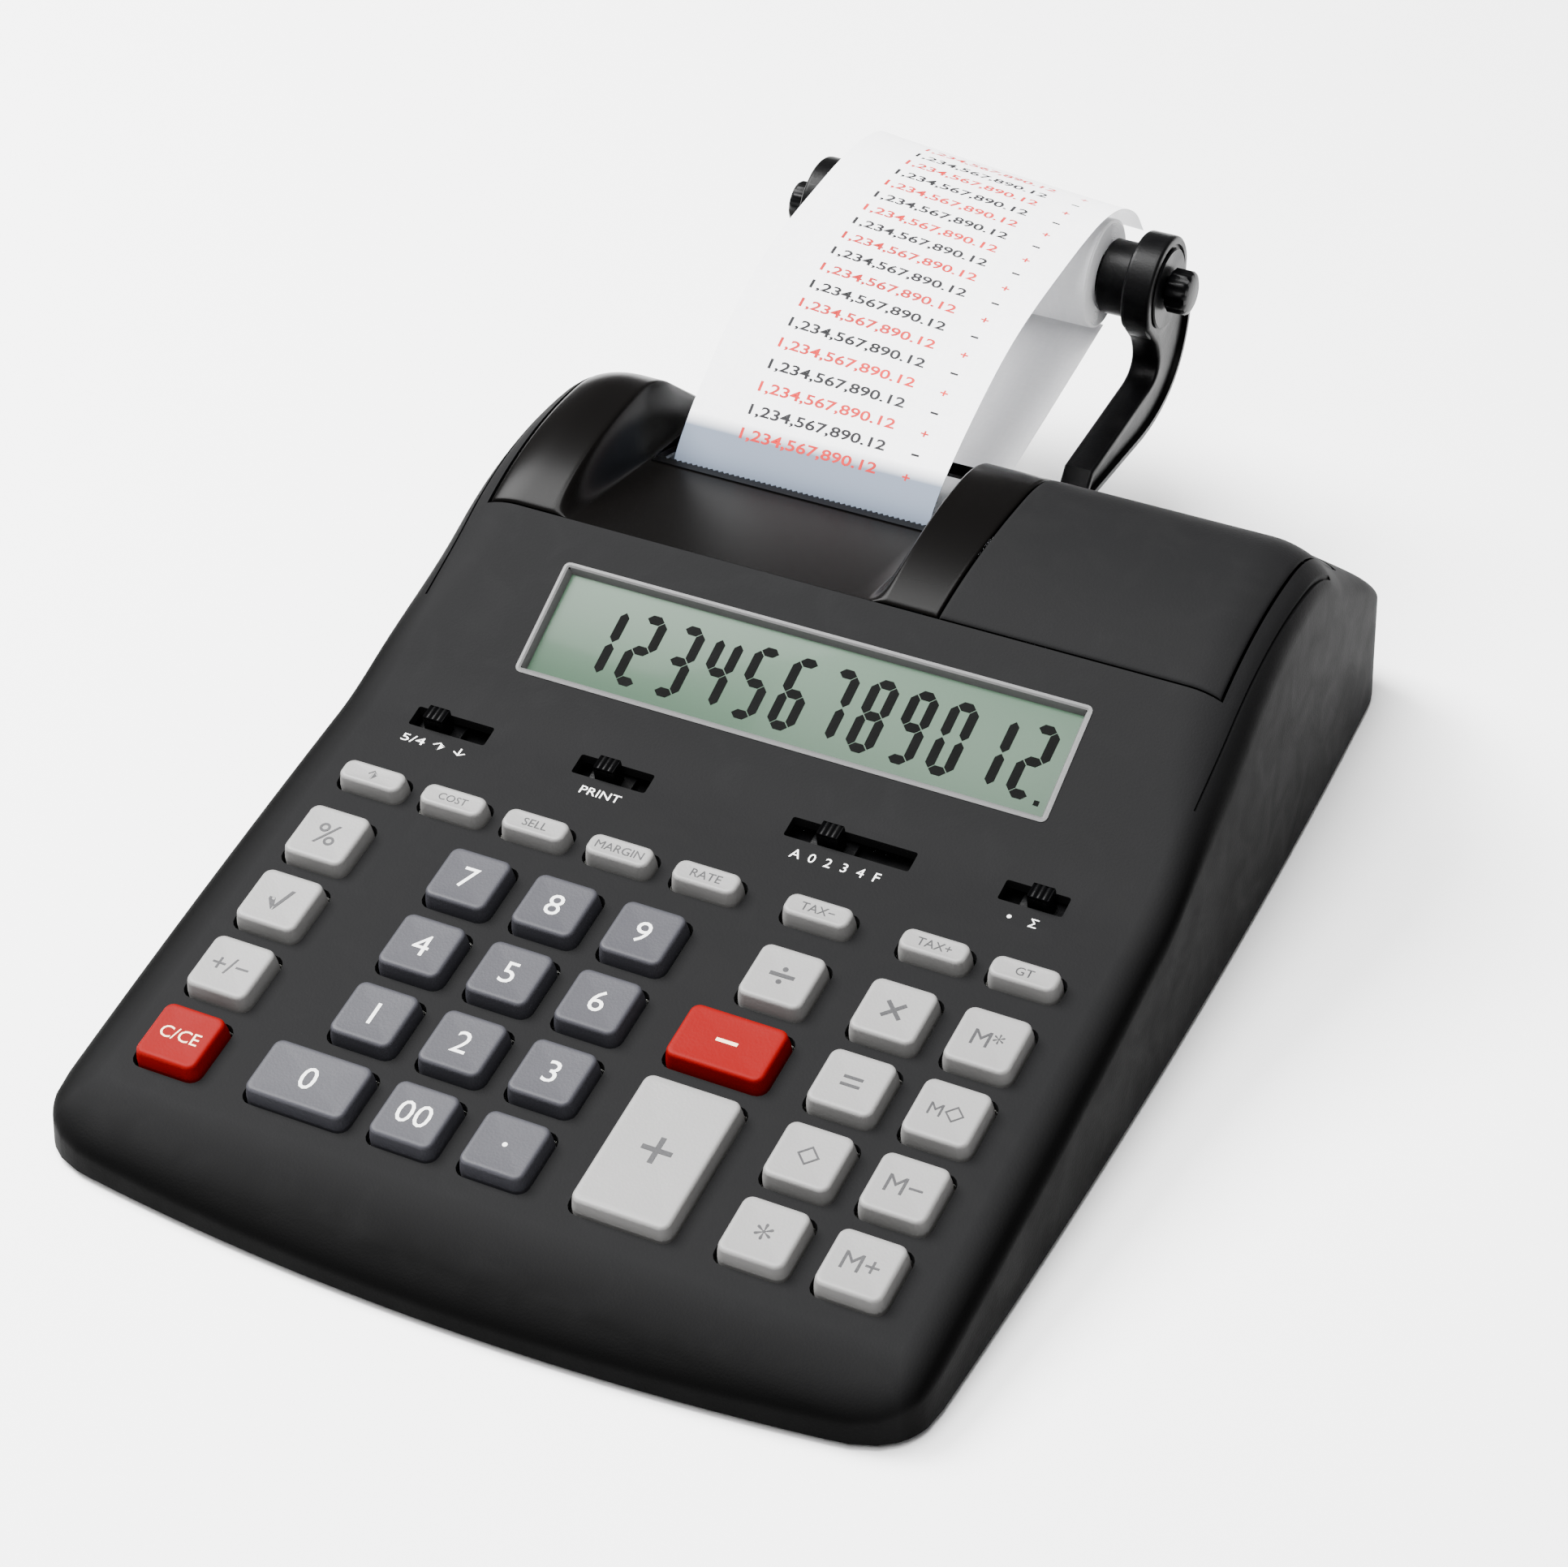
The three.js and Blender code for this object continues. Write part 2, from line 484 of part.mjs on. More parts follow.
function gear(teeth, y, z, phase) {
  const points = [];
  const pitch = teeth * MODULE / 2;
  for (let i = 0; i < teeth; i += 1) {
    for (const [turn, r] of [[-0.3, pitch - 1.1], [-0.14, pitch + 0.7], [0.14, pitch + 0.7],
      [0.3, pitch - 1.1]]) {
      const a = (i + turn + phase) / teeth * 2 * Math.PI;
      points.push([y + r * Math.cos(a), z + r * Math.sin(a)]);
    }
  }
  return push(points, 'x', GEARS.x, GEARS.x + GEARS.width);
}

add('platen_roller', join(
  bar(PAPER_LEFT - 1, PAPER_RIGHT + 1, PLATEN.y, PLATEN.z, PLATEN.r, 32),
  bar(SIDE_LEFT - 3, GEARS.x + GEARS.width + 1, PLATEN.y, PLATEN.z, 2.5, 16),
  gear(GEARS.platen, PLATEN.y, PLATEN.z, 0),
), 'rubber');
add('motor_pinion', join(
  gear(GEARS.pinion, MOTOR.y, MOTOR.z, 0),
  bar(GEARS.x - 1.5, GEARS.x + GEARS.width, MOTOR.y, MOTOR.z, 1.2, 12),
).add(bar(GEARS.x + 2, GEARS.x + GEARS.width + 4, MOTOR.y, MOTOR.z, 1.2, 12)), 'steel');
add('drive_motor', cut(join(
  bar(GEARS.x + GEARS.width + 2, 48, MOTOR.y, MOTOR.z, 9.5, 24),
  box(GEARS.x + GEARS.width + 4, 46, MOTOR.y - 6, MOTOR.y + 6, 3.4, MOTOR.z),
), bar(GEARS.x, GEARS.x + GEARS.width + 8, MOTOR.y, MOTOR.z, 1.6, 16)), 'steel');

const CARRIAGE = { x: -48, y: 30, z: 27 };
const RAILS = [[CARRIAGE.y - 3, CARRIAGE.z - 5], [CARRIAGE.y - 3, CARRIAGE.z + 5]];
const sidePlate = (x) => push(
  [[18, 3.4], [70, 3.4], [70, 26], [62, 40], [40, 46], [22, 40], [18, 34]], 'x', x, x + 2);
add('printer_frame', cut(join(
  box(SIDE_LEFT, SIDE_RIGHT + 2, 18, 70, 3.4, 5.4), sidePlate(SIDE_LEFT), sidePlate(SIDE_RIGHT),
  ...RAILS.map(([y, z]) => bar(SIDE_LEFT + 1, SIDE_RIGHT + 1, y, z, 1.5, 12)),
), bar(SIDE_LEFT - 5, SIDE_RIGHT + 5, PLATEN.y, PLATEN.z, 2.9, 20)), 'steel');
add('print_head', cut(
  box(CARRIAGE.x - 7, CARRIAGE.x + 7, CARRIAGE.y - 7, CARRIAGE.y + 9, CARRIAGE.z - 9,
    CARRIAGE.z + 9),
  ...RAILS.map(([y, z]) => bar(CARRIAGE.x - 9, CARRIAGE.x + 9, y, z, 1.9, 16)),
  box(CARRIAGE.x - 5, CARRIAGE.x + 5, CARRIAGE.y - 0.5, CARRIAGE.y + 12, CARRIAGE.z - 4,
    CARRIAGE.z + 12),
  bar(CARRIAGE.x - 9, CARRIAGE.x + 9, CARRIAGE.y + 4.6, CARRIAGE.z + 1.5, 1.4, 16),
), 'black');
add('ink_roller', join(
  bar(CARRIAGE.x - 4, CARRIAGE.x + 4, CARRIAGE.y + 4.6, CARRIAGE.z + 1.5, 4.4, 20),
  bar(CARRIAGE.x - 6.5, CARRIAGE.x + 6.5, CARRIAGE.y + 4.6, CARRIAGE.z + 1.5, 1.1, 12),
), 'redKey');

export default assembly;
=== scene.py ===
"""Printing desk calculator: moulded case, keys, display, printer cover, paper and its holder."""
import math

import bpy
import numpy as np
from bpy.props import FloatProperty, FloatVectorProperty, PointerProperty, StringProperty
from bpy.types import Operator, Panel, PropertyGroup
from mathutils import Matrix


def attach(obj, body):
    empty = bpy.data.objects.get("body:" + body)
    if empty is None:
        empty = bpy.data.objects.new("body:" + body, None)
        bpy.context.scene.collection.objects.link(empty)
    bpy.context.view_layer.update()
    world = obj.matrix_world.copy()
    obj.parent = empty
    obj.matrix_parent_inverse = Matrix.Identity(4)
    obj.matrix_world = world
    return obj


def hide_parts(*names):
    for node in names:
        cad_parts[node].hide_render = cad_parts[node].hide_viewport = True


bl_info = {
    "name": "Desk Calculator",
    "version": (1, 0, 0),
    "blender": (4, 5, 0),
    "location": "View3D > Sidebar > Calculator",
    "description": "Builds a printing desk calculator piece by piece",
    "category": "Add Mesh",
}

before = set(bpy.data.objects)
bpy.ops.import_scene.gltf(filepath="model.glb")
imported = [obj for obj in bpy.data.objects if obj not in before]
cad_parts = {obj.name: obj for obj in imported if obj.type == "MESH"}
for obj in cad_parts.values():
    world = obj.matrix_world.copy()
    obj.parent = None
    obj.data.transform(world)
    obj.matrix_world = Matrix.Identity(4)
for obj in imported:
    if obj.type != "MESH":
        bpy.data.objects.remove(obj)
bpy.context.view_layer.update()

MM = 0.001

# ---- sizes in millimetres -------------------------------------------------------------------
HALF_WIDTH = 89.0
SIDE_BOW = 2.9
WIDEST_Y = -81.0
FRONT_Y = -158.0
BACK_Y = 104.0
FRONT_BOW = 6.3
FRONT_CORNER = 13.0
BACK_CORNER = 15.0
SKIRT_Z = 1.4
WALL = 2.2
DECK_Y, DECK_Z, DECK_TILT = -74.0, 25.0, math.radians(11.25)
PANEL_Y, PANEL_Z, PANEL_TILT = -34.0, 32.95, math.radians(29.0)
HUMP_FRONT_Y = 6.5
CREST_Y, CREST_Z = 42.0, 63.5
BACK_SLOPE = ((57.7, 58.2), (91.0, 31.2))
COLUMN, ROW = 18.5, 17.84
KEY_RISE = 3.0
PAPER_X, PAPER_WIDTH = -27.7, 58.0
PAPER_TWIST = 2.8
PRINT_LINES, PRINT_START, PRINT_PITCH = 19, 15.3, 5.35
SPINDLE_Y, SPINDLE_Z = 136.0, 61.0
PLATEN_Y, PLATEN_Z, PLATEN_R = 52.0, 30.0, 8.8
COVER_HALF, COVER_BACK = 79.0, 70.0
SEAM = 0.3
FLOOR_HALF = 4000.0
DIGITS_RIGHT, DIGITS_UP = 51.9, 15.1
SWITCH_V = 36.2
SWITCHES = {  # slot middle, slot length, place of the knob in the slot
    "rounding_switch": (-63.0, 17.0, -3.0),
    "print_switch": (-27.2, 16.0, -1.0),
    "decimal_switch": (23.4, 26.0, -4.0),
    "total_switch": (61.0, 13.0, 1.5),
}
ARM_MIDDLE, ARM_HALF, ARM_WIDTH = -26.0, 38.5, 7.4

# Lamps: name, place and target in metres, width in metres, watts. Camera: target and distance in
# metres, turn to the right and rise in degrees, lens in millimetres.
LAMPS = (("key_light", (-1.0, 0.05, 1.25), (0.0, -0.05, 0.0), 0.8, 72.0),
         ("front_light", (0.0, -1.0, 1.5), (0.0, -0.05, 0.0), 0.9, 16.0),
         ("top_light", (-0.2, -0.1, 1.7), (0.0, 0.0, 0.0), 0.9, 56.0))
VIEW_TARGET, VIEW_DISTANCE = (-0.0156, 0.0124, 0.0), 0.8326
VIEW_ANGLES, LENS = (26.22, 36.35), 93.2
# Painted shade on the case and painted shadow on the tape, in metres as the shaders measure: each pair is
# where it starts and where it is complete.
PAINTED_FLANK_SHADE, PAINTED_NOSE_SHADE = (0.0805, 0.0865), (-0.138, -0.152)
PAINTED_TAPE_SHADOW_UP, PAINTED_TAPE_SHADOW_BACK = (0.0548, 0.0568), (0.066, 0.076)
PAINTED_TAPE_SHADOW_COLOUR = (0.34, 0.38, 0.44)


# ---- meshes -----------------------------------------------------------------------------------
def linear(colour):
    """A screen colour as the linear colour that shaders use: the usual two-part curve."""
    c = np.array(colour[:3], float)
    c = np.where(c <= 0.04045, c / 12.92, ((c + 0.055) / 1.055) ** 2.4)
    return (*[float(v) for v in c], 1.0)


def put_mesh(name, points, faces, crease=38.0):
    """A mesh object at the origin from points in millimetres and rows of corner numbers.
    Edges that turn more than crease degrees stay sharp."""
    mesh = bpy.data.meshes.new(name)
    rows = [row.tolist() for row in faces] if isinstance(faces, list) else faces.tolist()
    if isinstance(faces, list):
        rows = [face for block in rows for face in (block if isinstance(block[0], list) else [block])]
    mesh.from_pydata((np.asarray(points, float) * MM).tolist(), [], rows)
    finish_mesh(mesh, crease)
    piece = bpy.data.objects.new(name, mesh)
    bpy.context.scene.collection.objects.link(piece)
    return piece


def finish_mesh(mesh, crease):
    """Smooth shading, with the edges that turn more than crease degrees left sharp."""
    mesh.polygons.foreach_set("use_smooth", np.ones(len(mesh.polygons), bool))
    mesh.set_sharp_from_angle(angle=math.radians(crease))
    mesh.update()


def grid_faces(rows, columns, closed=True):
    """Quads between neighbouring rows and columns; closed joins the last column to the first."""
    i = np.arange(rows - 1)[:, None] * columns
    j = np.arange(columns if closed else columns - 1)[None, :]
    k = (j + 1) % columns
    return np.stack([i + j, i + k, i + columns + k, i + columns + j], -1).reshape(-1, 4)


def tube(rings):
    """A closed body over rings[row, column, xyz]: quads round the sides and one flat face at each
    end. Rings run anticlockwise as seen from the end of the body."""
    rows, columns = rings.shape[:2]
    first = np.arange(columns)[::-1]
    last = np.arange(columns) + (rows - 1) * columns
    return rings.reshape(-1, 3), [grid_faces(rows, columns), first, last]


def join_parts(*parts):
    """One (points, faces) from several, each one's corner numbers moved past the ones before."""
    points, faces, start = [], [], 0
    for part_points, part_faces in parts:
        points.append(part_points)
        blocks = part_faces if isinstance(part_faces, list) else [part_faces]
        faces += [block + start for block in blocks]
        start += len(part_points)
    return np.concatenate(points), faces


def settle(piece, body, material, nodes=()):
    """Gives the piece its material and its body, and hides the CAD nodes it stands for."""
    piece.data.materials.clear()
    piece.data.materials.append(material)
    if nodes:
        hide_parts(*nodes)
    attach(piece, body)
    return piece


def bake_modifiers(piece, crease=38.0):
    """Keeps the mesh as the modifiers leave it and takes them off."""
    graph = bpy.context.evaluated_depsgraph_get()
    mesh = bpy.data.meshes.new_from_object(piece.evaluated_get(graph), depsgraph=graph)
    piece.modifiers.clear()
    piece.data = mesh
    finish_mesh(mesh, crease)
    return piece


def carve(piece, cutter, crease=38.0):
    """Takes the cutter's volume out of the piece and removes the cutter."""
    modifier = piece.modifiers.new("carve", "BOOLEAN")
    modifier.operation = "DIFFERENCE"
    modifier.solver = "MANIFOLD"
    modifier.object = cutter
    bake_modifiers(piece, crease)
    bpy.data.objects.remove(cutter)
    return piece


def thicken(piece, depth, crease=38.0):
    """Gives an open skin a wall, inwards from its faces."""
    modifier = piece.modifiers.new("wall", "SOLIDIFY")
    modifier.thickness = depth * MM
    modifier.offset = -1.0
    return bake_modifiers(piece, crease)


# ---- curves ----------------------------------------------------------------------------------
def bezier(p0, p1, p2, steps=16):
    """Points of the parabola that leaves p0 towards p1 and reaches p2 from p1."""
    t = np.linspace(0, 1, steps)[:, None]
    return (1 - t) ** 2 * np.array(p0, float) + 2 * t * (1 - t) * np.array(p1, float) \
        + t ** 2 * np.array(p2, float)


def smooth_curve(points, steps):
    """A cubic through the given points, with tangents along the chord of each one's neighbours,
    sampled steps times at even lengths."""
    p = np.array(points, float)
    chord = np.linalg.norm(np.diff(p, axis=0), axis=1)
    at = np.concatenate([[0], np.cumsum(chord)])
    slope = np.gradient(p, at, axis=0)
    s = np.linspace(0, at[-1], steps * 6)
    k = np.clip(np.searchsorted(at, s, side="right") - 1, 0, len(p) - 2)
    h = (at[k + 1] - at[k])[:, None]
    t = (s - at[k])[:, None] / h
    curve = ((2 * t ** 3 - 3 * t ** 2 + 1) * p[k] + (t ** 3 - 2 * t ** 2 + t) * h * slope[k]
             + (-2 * t ** 3 + 3 * t ** 2) * p[k + 1] + (t ** 3 - t ** 2) * h * slope[k + 1])
    length = np.concatenate([[0], np.cumsum(np.linalg.norm(np.diff(curve, axis=0), axis=1))])
    even = np.linspace(0, length[-1], steps)
    return np.stack([np.interp(even, length, curve[:, a]) for a in range(p.shape[1])], 1)


def outward(points, closed=True):
    """Unit normals of a flat anticlockwise outline, pointing out of it: each one is square to the
    chord between its two neighbours."""
    if closed:
        step = np.roll(points, -1, 0) - np.roll(points, 1, 0)
    else:
        step = np.gradient(points, axis=0)
    normal = np.stack([step[:, 1], -step[:, 0]], 1)
    return normal / np.linalg.norm(normal, axis=1, keepdims=True)


def rounded_rectangle(width, depth, radius, steps=6):
    """An anticlockwise rectangle whose corners are quarter circles."""
    a = np.concatenate([np.linspace(q, q + 1, steps + 1) for q in range(4)]) * math.pi / 2
    sx = np.repeat([1, -1, -1, 1], steps + 1)
    sy = np.repeat([1, 1, -1, -1], steps + 1)
    return np.stack([sx * (width / 2 - radius) + radius * np.cos(a),
                     sy * (depth / 2 - radius) + radius * np.sin(a)], 1)


def smoothstep(x, low, high):
    """A rise from 0 at low to 1 at high that starts and ends level."""
    t = np.clip((x - low) / (high - low), 0, 1)
    return t * t * (3 - 2 * t)


# ---- places ------------------------------------------------------------------------------------
def on_plane(points, y, z, tilt):
    """Points given across, up the slope and square to it, on a plane through (0, y, z)."""
    p = np.asarray(points, float)
    return np.stack([p[..., 0], y + p[..., 1] * math.cos(tilt) - p[..., 2] * math.sin(tilt),
                     z + p[..., 1] * math.sin(tilt) + p[..., 2] * math.cos(tilt)], -1)


def on_deck(points):
    """Points across, up and above the keyboard deck."""
    return on_plane(points, DECK_Y, DECK_Z, DECK_TILT)


def on_panel(points):
    """Points across, up and above the display slope."""
    return on_plane(points, PANEL_Y, PANEL_Z, PANEL_TILT)


def along_x(points):
    """Points given as (y, z, x) become (x, y, z)."""
    p = np.asarray(points, float)
    return np.stack([p[..., 2], p[..., 0], p[..., 1]], -1)


def plate(outline, low, high, bevel=0.4, place=None, pocket=None):
    """A slab over an anticlockwise outline: its two rims are drawn in by bevel in three steps of a
    quarter circle. pocket is (margin, depth) of a hollow in both faces."""
    n = outward(outline)
    turn = np.radians([0, 30, 60, 90])
    inset = np.concatenate([bevel * (1 - np.sin(turn)), bevel * (1 - np.sin(turn[::-1]))])
    level = np.concatenate([low + bevel * (1 - np.cos(turn)), high - bevel * (1 - np.cos(turn[::-1]))])
    if pocket:
        margin, depth = pocket
        inset = np.concatenate([[margin + 0.3, margin], inset, [margin, margin + 0.3]])
        level = np.concatenate([[low + depth, low], level, [high, high - depth]])
    rings = np.stack([np.concatenate([outline - n * i, np.full((len(outline), 1), z)], 1)
                      for i, z in zip(inset, level)])
    return tube(place(rings) if place else rings)


def lathe(profile, y, z, steps=48, flutes=0, depth=0.0):
    """A turned body about an axis along X through (y, z): profile rows are (x, radius), and
    flutes waves of the given depth run round wherever the third column is 1."""
    p = np.array([row if len(row) == 3 else (*row, 0) for row in profile], float)
    a = np.linspace(0, 2 * math.pi, steps, endpoint=False)
    r = p[:, 1, None] - depth * p[:, 2, None] * (0.5 + 0.5 * np.cos(flutes * a))[None, :]
    rings = np.stack([np.broadcast_to(p[:, 0, None], r.shape), y + r * np.cos(a), z + r * np.sin(a)], -1)
    return tube(rings)


def lettering(text, height, width=None, bold=0.0):
    """Letters as thin closed bodies (points, faces), centred on the origin, height tall, and as
    wide as width where that is given. Their third value is 0 on the underside and 1 on the face."""
    curve = bpy.data.curves.new("letters", "FONT")
    curve.body = text
    curve.resolution_u = 3
    curve.extrude = 0.5
    curve.offset = bold
    holder = bpy.data.objects.new("letters", curve)
    bpy.context.scene.collection.objects.link(holder)
    graph = bpy.context.evaluated_depsgraph_get()
    mesh = bpy.data.meshes.new_from_object(holder.evaluated_get(graph), depsgraph=graph)
    points = np.empty(len(mesh.vertices) * 3)
    mesh.vertices.foreach_get("co", points)
    points = points.reshape(-1, 3)
    faces = [np.array(p.vertices[:]) for p in mesh.polygons]
    bpy.data.objects.remove(holder)
    bpy.data.curves.remove(curve)
    bpy.data.meshes.remove(mesh)
    low, high = points.min(0), points.max(0)
    points = points - (low + high) / 2
    points[:, 2] = points[:, 2] > 0
    scale = height / (high[1] - low[1])
    points[:, 1] *= scale
    points[:, 0] *= width / (high[0] - low[0]) if width else scale
    return points, faces


# ---- the outside of the case -----------------------------------------------------------------
def profile_table():
    """Side view of the top, as sorted (y, z) rows: keyboard slope, a blend into the display slope,
    a brow up to the crest, and the back slope, each blend a parabola."""
    deck = lambda y: DECK_Z + (y - DECK_Y) * math.tan(DECK_TILT)
    panel = lambda y: PANEL_Z + (y - PANEL_Y) * math.tan(PANEL_TILT)
    fall = (BACK_SLOPE[1][1] - BACK_SLOPE[0][1]) / (BACK_SLOPE[1][0] - BACK_SLOPE[0][0])
    return np.concatenate([
        [[FRONT_Y - 5, deck(FRONT_Y - 5)]],
        bezier((PANEL_Y - 7, deck(PANEL_Y - 7)), (PANEL_Y, PANEL_Z), (PANEL_Y + 7, panel(PANEL_Y + 7))),
        bezier((HUMP_FRONT_Y - 2, panel(HUMP_FRONT_Y - 2)), (21.5, CREST_Z), (CREST_Y, CREST_Z), 40),
        bezier((CREST_Y, CREST_Z), (CREST_Y + 9.5, CREST_Z), BACK_SLOPE[0], 24)[1:],
        [[BACK_Y + 5, BACK_SLOPE[1][1] + fall * (BACK_Y + 5 - BACK_SLOPE[1][0])]],
    ])


PROFILE = profile_table()


def top_z(y):
    """Height of the top over the middle line, before its rims are rounded."""
    return np.interp(y, PROFILE[:, 0], PROFILE[:, 1])


def side_x(y):
    """Half width at y: the widest less a parabola."""
    return HALF_WIDTH - SIDE_BOW * ((y - WIDEST_Y) / 120) ** 2


def lean(y):
    """How far the top rim stands in from the foot of the wall: 2 mm at the crest's height."""
    return 2.0 * (top_z(y) - SKIRT_Z) / (CREST_Z - SKIRT_Z)


def rim_size(y, facing):
    """Depth and width of the rounded rim, from the side's height and the way the wall faces:
    facing is the outward normal's y, -1 at the front and 1 at the back."""
    hump = smoothstep(top_z(y), 33.0, 54.0)
    front = smoothstep(-facing, 0.72, 1.0)
    back = smoothstep(facing, 0.72, 1.0)
    side = 1 - front - back
    return (front * 4.2 + back * 12.2 + side * (3.4 + 6.4 * hump),
            front * 10.5 + back * 13.0 + side * (5.5 + 8.0 * hump))


def rim_drop(distance, depth, width):
    """How far a quarter ellipse of that depth and width has dropped at a distance in from the
    wall."""
    t = np.clip(1 - distance / width, 0, 1)
    return depth * (1 - np.sqrt(np.clip(1 - t * t, 0, 1)))


def skin_z(x, y):
    """Height of the finished top near a side wall: the profile less the rim's drop."""
    depth, width = rim_size(y, np.zeros_like(y))
    return top_z(y) - rim_drop(side_x(y) - lean(y) - np.abs(x), depth, width)


def half_outline():
    """Right half of the foot's outline, front to back, as four runs: front edge to the middle of
    its corner, the side, and the rear edge. Corners are parabolas."""
    front_y = lambda x: FRONT_Y + FRONT_BOW * (x / 80) ** 2
    corner_y = front_y(HALF_WIDTH) + FRONT_CORNER
    front_x = side_x(corner_y) - FRONT_CORNER
    rear_x = side_x(BACK_Y - BACK_CORNER)
    front_corner = bezier((front_x, front_y(front_x)), (side_x(corner_y) - 1, front_y(side_x(corner_y) - 1)),
                          (side_x(corner_y), front_y(front_x) + FRONT_CORNER), 41)
    rear_corner = bezier((rear_x, BACK_Y - BACK_CORNER), (rear_x - 1, BACK_Y),
                         (rear_x - BACK_CORNER, BACK_Y), 41)
    x = np.linspace(0, front_x, 60)[:-1]
    y = np.linspace(front_corner[-1, 1], BACK_Y - BACK_CORNER, 160)[1:-1]
    front = np.concatenate([np.stack([x, front_y(x)], 1), front_corner[:21]])
    side = np.concatenate([front_corner[20:], np.stack([side_x(y), y], 1), rear_corner[:21]])
    rear = np.concatenate([rear_corner[20:], np.stack([np.linspace(rear_x - BACK_CORNER, 0, 40)[1:],
                                                       np.full(39, BACK_Y)], 1)])
    return front, side, rear


def case_skin():
    """The open outside of the case. A grid spans the top: its columns are even shares of the
    width, its rows cross at the side's own y and bend to the front and rear edges only near them.
    Rings then run round it, a quarter ellipse down over the rim and a leaning wall to the foot."""
    front, side, rear = half_outline()
    mirror = lambda run: np.stack([-run[:, 0], run[:, 1]], 1)[::-1]
    edges = {"front": np.concatenate([mirror(front)[:-1], front]), "side": side,
             "rear": np.concatenate([rear[:-1], mirror(rear)])}
    loop = np.concatenate([edges["front"][:-1], side[:-1], edges["rear"][:-1], mirror(side)[:-1]])
    normal = outward(loop)
    start = {"front": 0, "side": len(edges["front"]) - 1,
             "rear": len(edges["front"]) + len(side) - 2}
    pick = lambda name: (start[name] + np.arange(len(edges[name]))) % len(loop)
    depth, width = rim_size(loop[:, 1], normal[:, 1])
    brow = loop - normal * lean(loop[:, 1])[:, None]
    inner = brow - normal * width[:, None]

    columns = np.linspace(-1, 1, 57)
    ends = [inner[pick("side")][0, 1], inner[pick("side")][-1, 1]]
    stops = [ends[0], ends[0] + 3, -120, -43, -25, 3, 22, 44, 60, 88, ends[1] - 3, ends[1]]
    counts = [4, 6, 14, 18, 10, 16, 20, 16, 10, 6, 4]
    rows = np.concatenate([np.linspace(a, b, n, endpoint=False)
                           for a, b, n in zip(stops[:-1], stops[1:], counts)] + [[ends[1]]])
    side_at = np.interp(rows, inner[pick("side")][:, 1], np.arange(len(side)))
    reach = inner[pick("front")][-1, 0]
    front_at = np.interp(columns * reach, inner[pick("front")][:, 0], np.arange(len(edges["front"])))
    reach = inner[pick("rear")][0, 0]
    rear_at = np.interp(-columns * reach, -inner[pick("rear")][:, 0], np.arange(len(edges["rear"])))

    def at(values, name, place):
        run = values[pick(name)]
        steps = np.arange(len(run))
        return np.stack([np.interp(place, steps, run[:, a]) for a in range(run.shape[1])], 1)

    v = ((rows - rows[0]) / (rows[-1] - rows[0]))[:, None]
    side_run = at(inner, "side", side_at)
    x = columns[None, :] * side_run[:, :1]
    y = np.broadcast_to(rows[:, None], x.shape).copy()
    front_run = at(inner, "front", front_at)
    rear_run = at(inner, "rear", rear_at)
    x = x + (1 - v) ** 9 * (front_run[:, 0] - x[0])[None] + v ** 9 * (rear_run[:, 0] - x[-1])[None]
    y = y + (1 - v) ** 9 * (front_run[:, 1] - y[0])[None] + v ** 9 * (rear_run[:, 1] - y[-1])[None]
    top = np.stack([x, y, top_z(y)], -1)

    count_y, count_x = top.shape[:2]
    number = np.arange(count_y * count_x).reshape(count_y, count_x)
    border = np.concatenate([number[0, :-1], number[:-1, -1], number[-1, :0:-1], number[:0:-1, 0]])
    both = np.concatenate([loop, normal, depth[:, None], width[:, None]], 1)
    mirrored = at(both, "side", side_at)[::-1] * np.array([-1, 1, -1, 1, 1, 1.0])
    around = np.concatenate([at(both, "front", front_at)[:-1], at(both, "side", side_at)[:-1],
                             at(both, "rear", rear_at[::-1])[:-1], mirrored[:-1]])
    foot, out, depth, width = around[:, :2], around[:, 2:4], around[:, 4], around[:, 5]
    out = out / np.linalg.norm(out, axis=1, keepdims=True)
    brow = foot - out * lean(foot[:, 1])[:, None]
    rings = []
    for turn in np.radians(np.linspace(0, 90, 13)[1:]):
        flat = brow - out * (width * (1 - math.sin(turn)))[:, None]
        z = top_z(flat[:, 1]) - depth * (1 - math.cos(turn))
        rings.append(np.concatenate([flat, z[:, None]], 1))
    low = np.concatenate([foot, np.full((len(foot), 1), SKIRT_Z)], 1)
    for share in (0.2, 0.4, 0.6, 0.8, 1.0):
        rings.append(rings[11] * (1 - share) + low * share)
    ring_points = np.concatenate(rings)
    count = len(border)
    ring_number = np.concatenate([border[None],
                                  number.size + np.arange(len(rings) * count).reshape(-1, count)])
    a, b = ring_number[:-1], ring_number[1:]
    faces = np.stack([b, np.roll(b, -1, 1), np.roll(a, -1, 1), a], -1).reshape(-1, 4)
    return (np.concatenate([top.reshape(-1, 3), ring_points]),
            [grid_faces(count_y, count_x, closed=False), faces])


def slab(low, high):
    """A plain box as a cutter."""
    (x0, y0, z0), (x1, y1, z1) = low, high
    outline = np.array([[x0, y0], [x1, y0], [x1, y1], [x0, y1]], float)
    rings = np.stack([np.concatenate([outline, np.full((4, 1), z)], 1) for z in (z0, z1)])
    return tube(rings)


def well(middle, size, radius, place, low=-9.0, high=9.0):
    """A rounded hole's cutter, square to a sloping plane."""
    outline = rounded_rectangle(size[0], size[1], radius, 4) + np.array(middle)
    rings = np.stack([np.concatenate([outline, np.full((len(outline), 1), h)], 1) for h in (low, high)])
    return tube(place(rings))


def side_groove(x):
    """A cutter for the fine line beside the printer cover: a strip 0.5 wide that follows the skin
    0.7 below it."""
    y = np.linspace(-14, 56, 60)
    z = skin_z(np.full_like(y, x), y)
    rings = np.stack([np.stack([np.full_like(y, x + dx), y, z + dz], 1)
                      for dx, dz in ((-0.28, -0.7), (0.28, -0.7), (0.28, 4), (-0.28, 4))], 1)
    return tube(rings[::-1])


